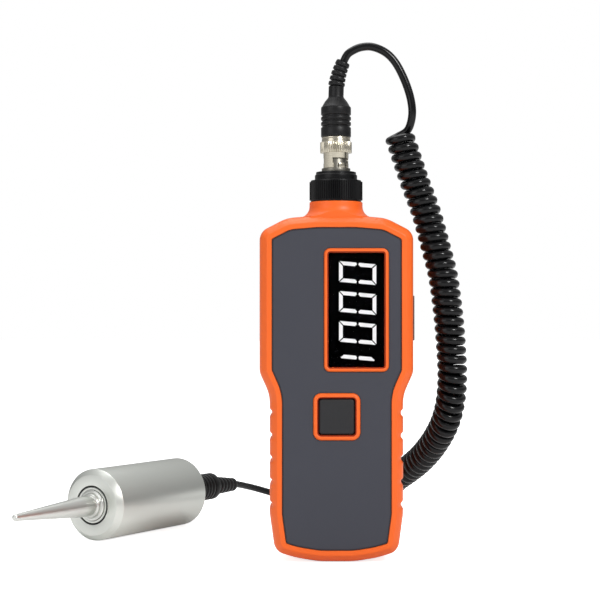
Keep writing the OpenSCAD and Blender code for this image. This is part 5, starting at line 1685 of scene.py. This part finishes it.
@dataclass
class Probe:
    """The metal probe: case, collar, tip, rear socket and plug."""

    case_r: float = 17.25
    case_l: float = 72.0
    case_bore_r: float = 14.25
    front_wall: float = 7.0
    edge: float = 0.8
    chamfer: float = 2.6
    groove_r: float = 9.0
    groove_w: float = 0.9
    groove_d: float = 1.2
    seat_r: float = 7.55
    seat_d: float = 2.2
    stud_hole_r: float = 2.55
    collar_r: float = 7.4
    collar_steps: tuple[Flat, ...] = (
        (7.4, 0.5), (6.5, 1.0), (6.15, 1.0), (5.95, 0.75), (5.75, 1.0), (5.7, 1.9), (5.0, 2.6), (2.55, 2.6))
    tip_l: float = 56.5
    tip_end_r: float = 1.6
    tip_root: tuple[Flat, ...] = (
        (0, -10), (2.5, -10), (2.5, 2.55), (4.55, 2.6), (4.85, 2.95), (4.85, 9.3), (4.8, 9.6))
    boot_at: float = 75.0
    boot_r: float = 7.0
    boot_l: float = 27.0
    seat_ring: tuple[Flat, ...] = ((0.05, 7.4), (0.1, 7.7), (0.4, 7.9), (1.9, 7.9), (2.15, 7.75), (2.25, 7.0))
    grooves: tuple[float, ...] = (0.4, 0.5, 0.6, 0.7, 0.8)
    groove_edge: tuple[Flat, ...] = ((0.6, 0.0), (0.35, 0.15), (0.25, 0.5))
    boot_end: tuple[Flat, ...] = ((25.9, 7.0), (26.6, 6.6), (27.8, 5.5), (28.0, 5.2))
    relief_l: float = 21.0
    relief_core_r: float = 2.7
    ring_count: int = 6
    ring_r: float = 5.0
    ring_taper: float = 1.6
    first_ring: float = 1.2
    lean: float = 3.0

    def case(self) -> bpy.types.Object:
        """Makes the hollow turned case.

        Returns:
            The case.
        """
        near, far = self.groove_r - self.groove_w / 2, self.groove_r + self.groove_w / 2
        return turned_ring("probe_case_turned", [
            (self.case_bore_r, -self.front_wall), (self.case_bore_r, -self.case_l),
            (self.case_r - self.edge, -self.case_l), (self.case_r, -self.case_l + self.edge),
            (self.case_r, -self.chamfer), (self.case_r - self.chamfer, 0), (far, 0), (far, -self.groove_d),
            (near, -self.groove_d), (near, 0), (self.seat_r, 0), (self.seat_r, -self.seat_d),
            (self.stud_hole_r, -self.seat_d), (self.stud_hole_r, -self.front_wall)], 0.14, IN_PROBE, 160)

    def collar(self) -> bpy.types.Object:
        """Makes the polished stepped collar round the tip.

        Returns:
            The collar.
        """
        seat = [(self.stud_hole_r, -self.seat_d), (self.collar_r, -self.seat_d)]
        return turned_ring("probe_collar_turned", [*seat, *self.collar_steps], 0.15, IN_PROBE, 128)

    def tip(self) -> bpy.types.Object:
        """Makes the long tapered tip with its stud.

        Returns:
            The tip.
        """
        r, turns = self.tip_end_r, [math.radians(a) for a in range(6, 90, 12)]
        profile = [*self.tip_root, *((r * math.cos(a), self.tip_l - r + r * math.sin(a)) for a in turns),
                   (0, self.tip_l)]
        return turned("probe_tip_turned", profile, IN_PROBE, 96)

    def boot(self) -> bpy.types.Object:
        """Makes the ribbed boot at the rear and its slotted relief.

        Returns:
            The boot.
        """
        marks = list(self.seat_ring)
        for share in self.grooves:
            marks += grooved(share * self.boot_l, self.boot_r, self.groove_edge)
        marks += self.boot_end
        path = [Vector((0, 0, -at)) for at, _ in marks]
        radii = [r for _, r in marks]
        step, core = self.relief_l / self.ring_count, self.relief_core_r
        rings: list[Flat] = []
        for i in range(self.ring_count):
            radius = self.ring_r - self.ring_taper * i / self.ring_count
            start = step * i + (self.first_ring if i == 0 else 0)
            rings += [(start, core), (start + 0.35, radius - 0.15), (start + 0.6, radius),
                      (step * (i + 0.72), radius - 0.08), (step * (i + 0.8), radius - 0.25),
                      (step * (i + 0.88), core)]
        lean = math.radians(self.lean)
        for at, r in [*rings, (self.relief_l, core)]:
            path.append(Vector((math.sin(lean) * at, 0, -self.boot_l - math.cos(lean) * at)))
            radii.append(r)
        back = IN_PROBE @ Matrix.Translation((0, 0, -self.boot_at))
        return tube("probe_boot_moulded", [back @ p for p in path], radii, 56)

    def build(self, frame: dict, paints: Paints) -> bpy.types.Object:
        """Makes and dresses the probe's pieces.

        Args:
            frame: the loaded frame.
            paints: the finishes.

        Returns:
            The boot that ends the cord.
        """
        for piece, node, finish in ((self.case(), "probe_case", "satin_aluminium"),
                                    (self.collar(), "probe_collar", "polished_steel"),
                                    (self.tip(), "probe_tip", "polished_steel")):
            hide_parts(node)
            paints.dress(piece, finish)
        # A dark ring set in the face's groove is painted shade for the groove's shadow
        g, w = self.groove_r, self.groove_w / 2 - 0.06
        groove_shade = turned_ring("groove_ring", [(g - w, -1.15), (g + w, -1.15), (g + w, -0.5), (g - w, -0.5)],
                           0.2, IN_PROBE, 128)
        paints.dress(groove_shade, "groove_dark")
        paints.dress(refined(frame, "probe_rear_cap", "rear_cap", 0.2), "satin_aluminium")
        paints.dress(refined(frame, "probe_socket", "rear_socket", 0.15), "nickel")
        boot = self.boot()
        shade(boot, 50)
        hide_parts("probe_plug")
        paints.dress(boot, "boot_rubber")
        return boot


# ---- Stage


@dataclass
class Stage:
    """The camera, the lamps, the floor and the white surroundings."""

    camera_at: tuple[float, float, float] = (-16.1, -715.0, 108.6)
    lens: float = 96.0
    pitch: float = 0.555
    sensor: float = 36.0
    floor_half: float = 6.0
    floor_colour: Point = (0.82, 0.82, 0.82)
    floor_lift: float = 0.8
    floor_in_metal: float = 0.12
    low_light: float = 0.3
    high_light: float = 0.62
    light_heights: Flat = (0.1, 0.7)
    lamps: tuple[tuple[str, Point, Point, float, float], ...] = (
        ("key", (0.7, -1.0, 0.9), (0, 0, 0.09), 0.35, 12), ("fill", (-0.9, -0.9, 0.5), (0, 0, 0.1), 0.8, 3.5),
        ("top", (-0.1, 0.25, 1.2), (0, 0, 0.05), 0.8, 6.5))

    def camera(self) -> None:
        """Sets the camera at the photograph's viewing angle."""
        data = bpy.data.cameras.new("camera")
        data.lens, data.sensor_width = self.lens, self.sensor
        data.clip_start, data.clip_end = 0.01, 20.0
        camera = bpy.data.objects.new("camera", data)
        camera.location = Vector(self.camera_at) * MM
        camera.rotation_euler = (math.radians(90 + self.pitch), 0, 0)
        bpy.context.scene.collection.objects.link(camera)
        bpy.context.scene.camera = camera

    def lamp(self, name: str, at: Sequence[float], aim: Sequence[float], size: float, power: float) -> None:
        """Sets a square soft lamp.

        Args:
            name: the lamp's name.
            at: its place, in metres.
            aim: the point that it shines at, in metres.
            size: the length of its sides, in metres.
            power: its power, in watts.
        """
        data = bpy.data.lights.new(name, "AREA")
        data.size, data.energy = size, power
        lamp = bpy.data.objects.new(name, data)
        lamp.location = at
        lamp.rotation_euler = (Vector(aim) - Vector(at)).to_track_quat("-Z", "Y").to_euler()
        bpy.context.scene.collection.objects.link(lamp)

    def floor(self) -> None:
        """Makes the pale floor, white to the camera where the lamps reach it."""
        mesh = bpy.data.meshes.new("floor")
        mesh.from_pydata([(x * self.floor_half, y * self.floor_half, 0)
                          for x, y in ((-1, -1), (1, -1), (1, 1), (-1, 1))], [], [(0, 1, 2, 3)])
        floor = link("floor", mesh)
        material = bpy.data.materials.new("floor_white")
        material.use_nodes = True
        nodes, links = material.node_tree.nodes, material.node_tree.links
        shader = nodes["Principled BSDF"]
        for label, value in (("Base Color", (*self.floor_colour, 1)), ("Roughness", 0.9),
                             ("Specular IOR Level", 0.1), ("Emission Color", WHITE)):
            shader.inputs[label].default_value = value
        rays, mirrored, seen, lift = (nodes.new(k) for k in ("ShaderNodeLightPath", *["ShaderNodeMath"] * 3))
        mirrored.operation, seen.operation, lift.operation = "MULTIPLY", "MAXIMUM", "MULTIPLY"
        mirrored.inputs[1].default_value, lift.inputs[1].default_value = self.floor_in_metal, self.floor_lift
        links.new(rays.outputs["Is Glossy Ray"], mirrored.inputs[0])
        links.new(mirrored.outputs[0], seen.inputs[0])
        links.new(rays.outputs["Is Camera Ray"], seen.inputs[1])
        links.new(seen.outputs[0], lift.inputs[0])
        links.new(lift.outputs[0], shader.inputs["Emission Strength"])
        mesh.materials.append(material)

    def world(self) -> None:
        """White surroundings, dimmer for the light that they give."""
        world = bpy.data.worlds.new("surroundings")
        bpy.context.scene.world = world
        world.use_nodes = True
        nodes, links = world.node_tree.nodes, world.node_tree.links
        back = nodes["Background"]
        rays, place, parts, height, level = (nodes.new(k) for k in (
            "ShaderNodeLightPath", "ShaderNodeTexCoord", "ShaderNodeSeparateXYZ", "ShaderNodeMapRange",
            "ShaderNodeMath"))
        for label, value in zip(("From Min", "From Max", "To Min", "To Max"),
                                (*self.light_heights, self.low_light, self.high_light)):
            height.inputs[label].default_value = value
        level.operation = "MAXIMUM"
        links.new(place.outputs["Generated"], parts.inputs[0])
        links.new(parts.outputs["Z"], height.inputs["Value"])
        links.new(height.outputs["Result"], level.inputs[0])
        links.new(rays.outputs["Is Camera Ray"], level.inputs[1])
        links.new(level.outputs[0], back.inputs["Strength"])
        back.inputs["Color"].default_value = WHITE

    def build(self) -> None:
        """Sets the stage."""
        self.camera()
        self.floor()
        self.world()
        for lamp in self.lamps:
            self.lamp(*lamp)
        bpy.context.scene.view_settings.view_transform = "Standard"


def dress_nodes(frame: dict, paints: Paints) -> None:
    """Gives each CAD node the procedural finish of its slot.

    Args:
        frame: the loaded frame.
        paints: the finishes.
    """
    slots = {part["node"]: part["material_slot"] for part in frame["record"]["subparts"]}
    for name, node in frame["nodes"].items():
        for k in range(max(len(node.data.materials), 1)):
            if node.data.materials:
                node.data.materials[k] = paints.materials[slots[name]]
            else:
                node.data.materials.append(paints.materials[slots[name]])


def main() -> None:
    """Builds the whole scene on the frame."""
    logging.basicConfig(level=logging.INFO, format="%(message)s")
    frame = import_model()
    Stage().build()
    paints = Paints()
    dress_nodes(frame, paints)
    copies, knurls = copies_tree(), knurl_tree()
    housing, cord_maker = Housing(), Cord()
    cord = cord_maker.build(paints)
    Connector(housing.neck_top_z).build(frame, paints, knurls)
    boot = Probe().build(frame, paints)
    housing.build(frame, paints)
    Display(housing.window.x, housing.window.z).build(paints, copies)
    Controls(housing.button.z).build(frame, paints)
    BatteryBay().build(frame, paints)
    on_cord = [bpy.data.objects[n] for n in ("plug_boot_moulded", "bayonet_grip", "plug_shell")]
    on_cord += [frame["nodes"][n] for n in ("plug_insulator", "plug_pin", "probe_plug_pins")]
    cord_maker.declare(cord, [*on_cord, boot])
    bpy.context.view_layer.update()


if __name__ == "__main__":
    main()
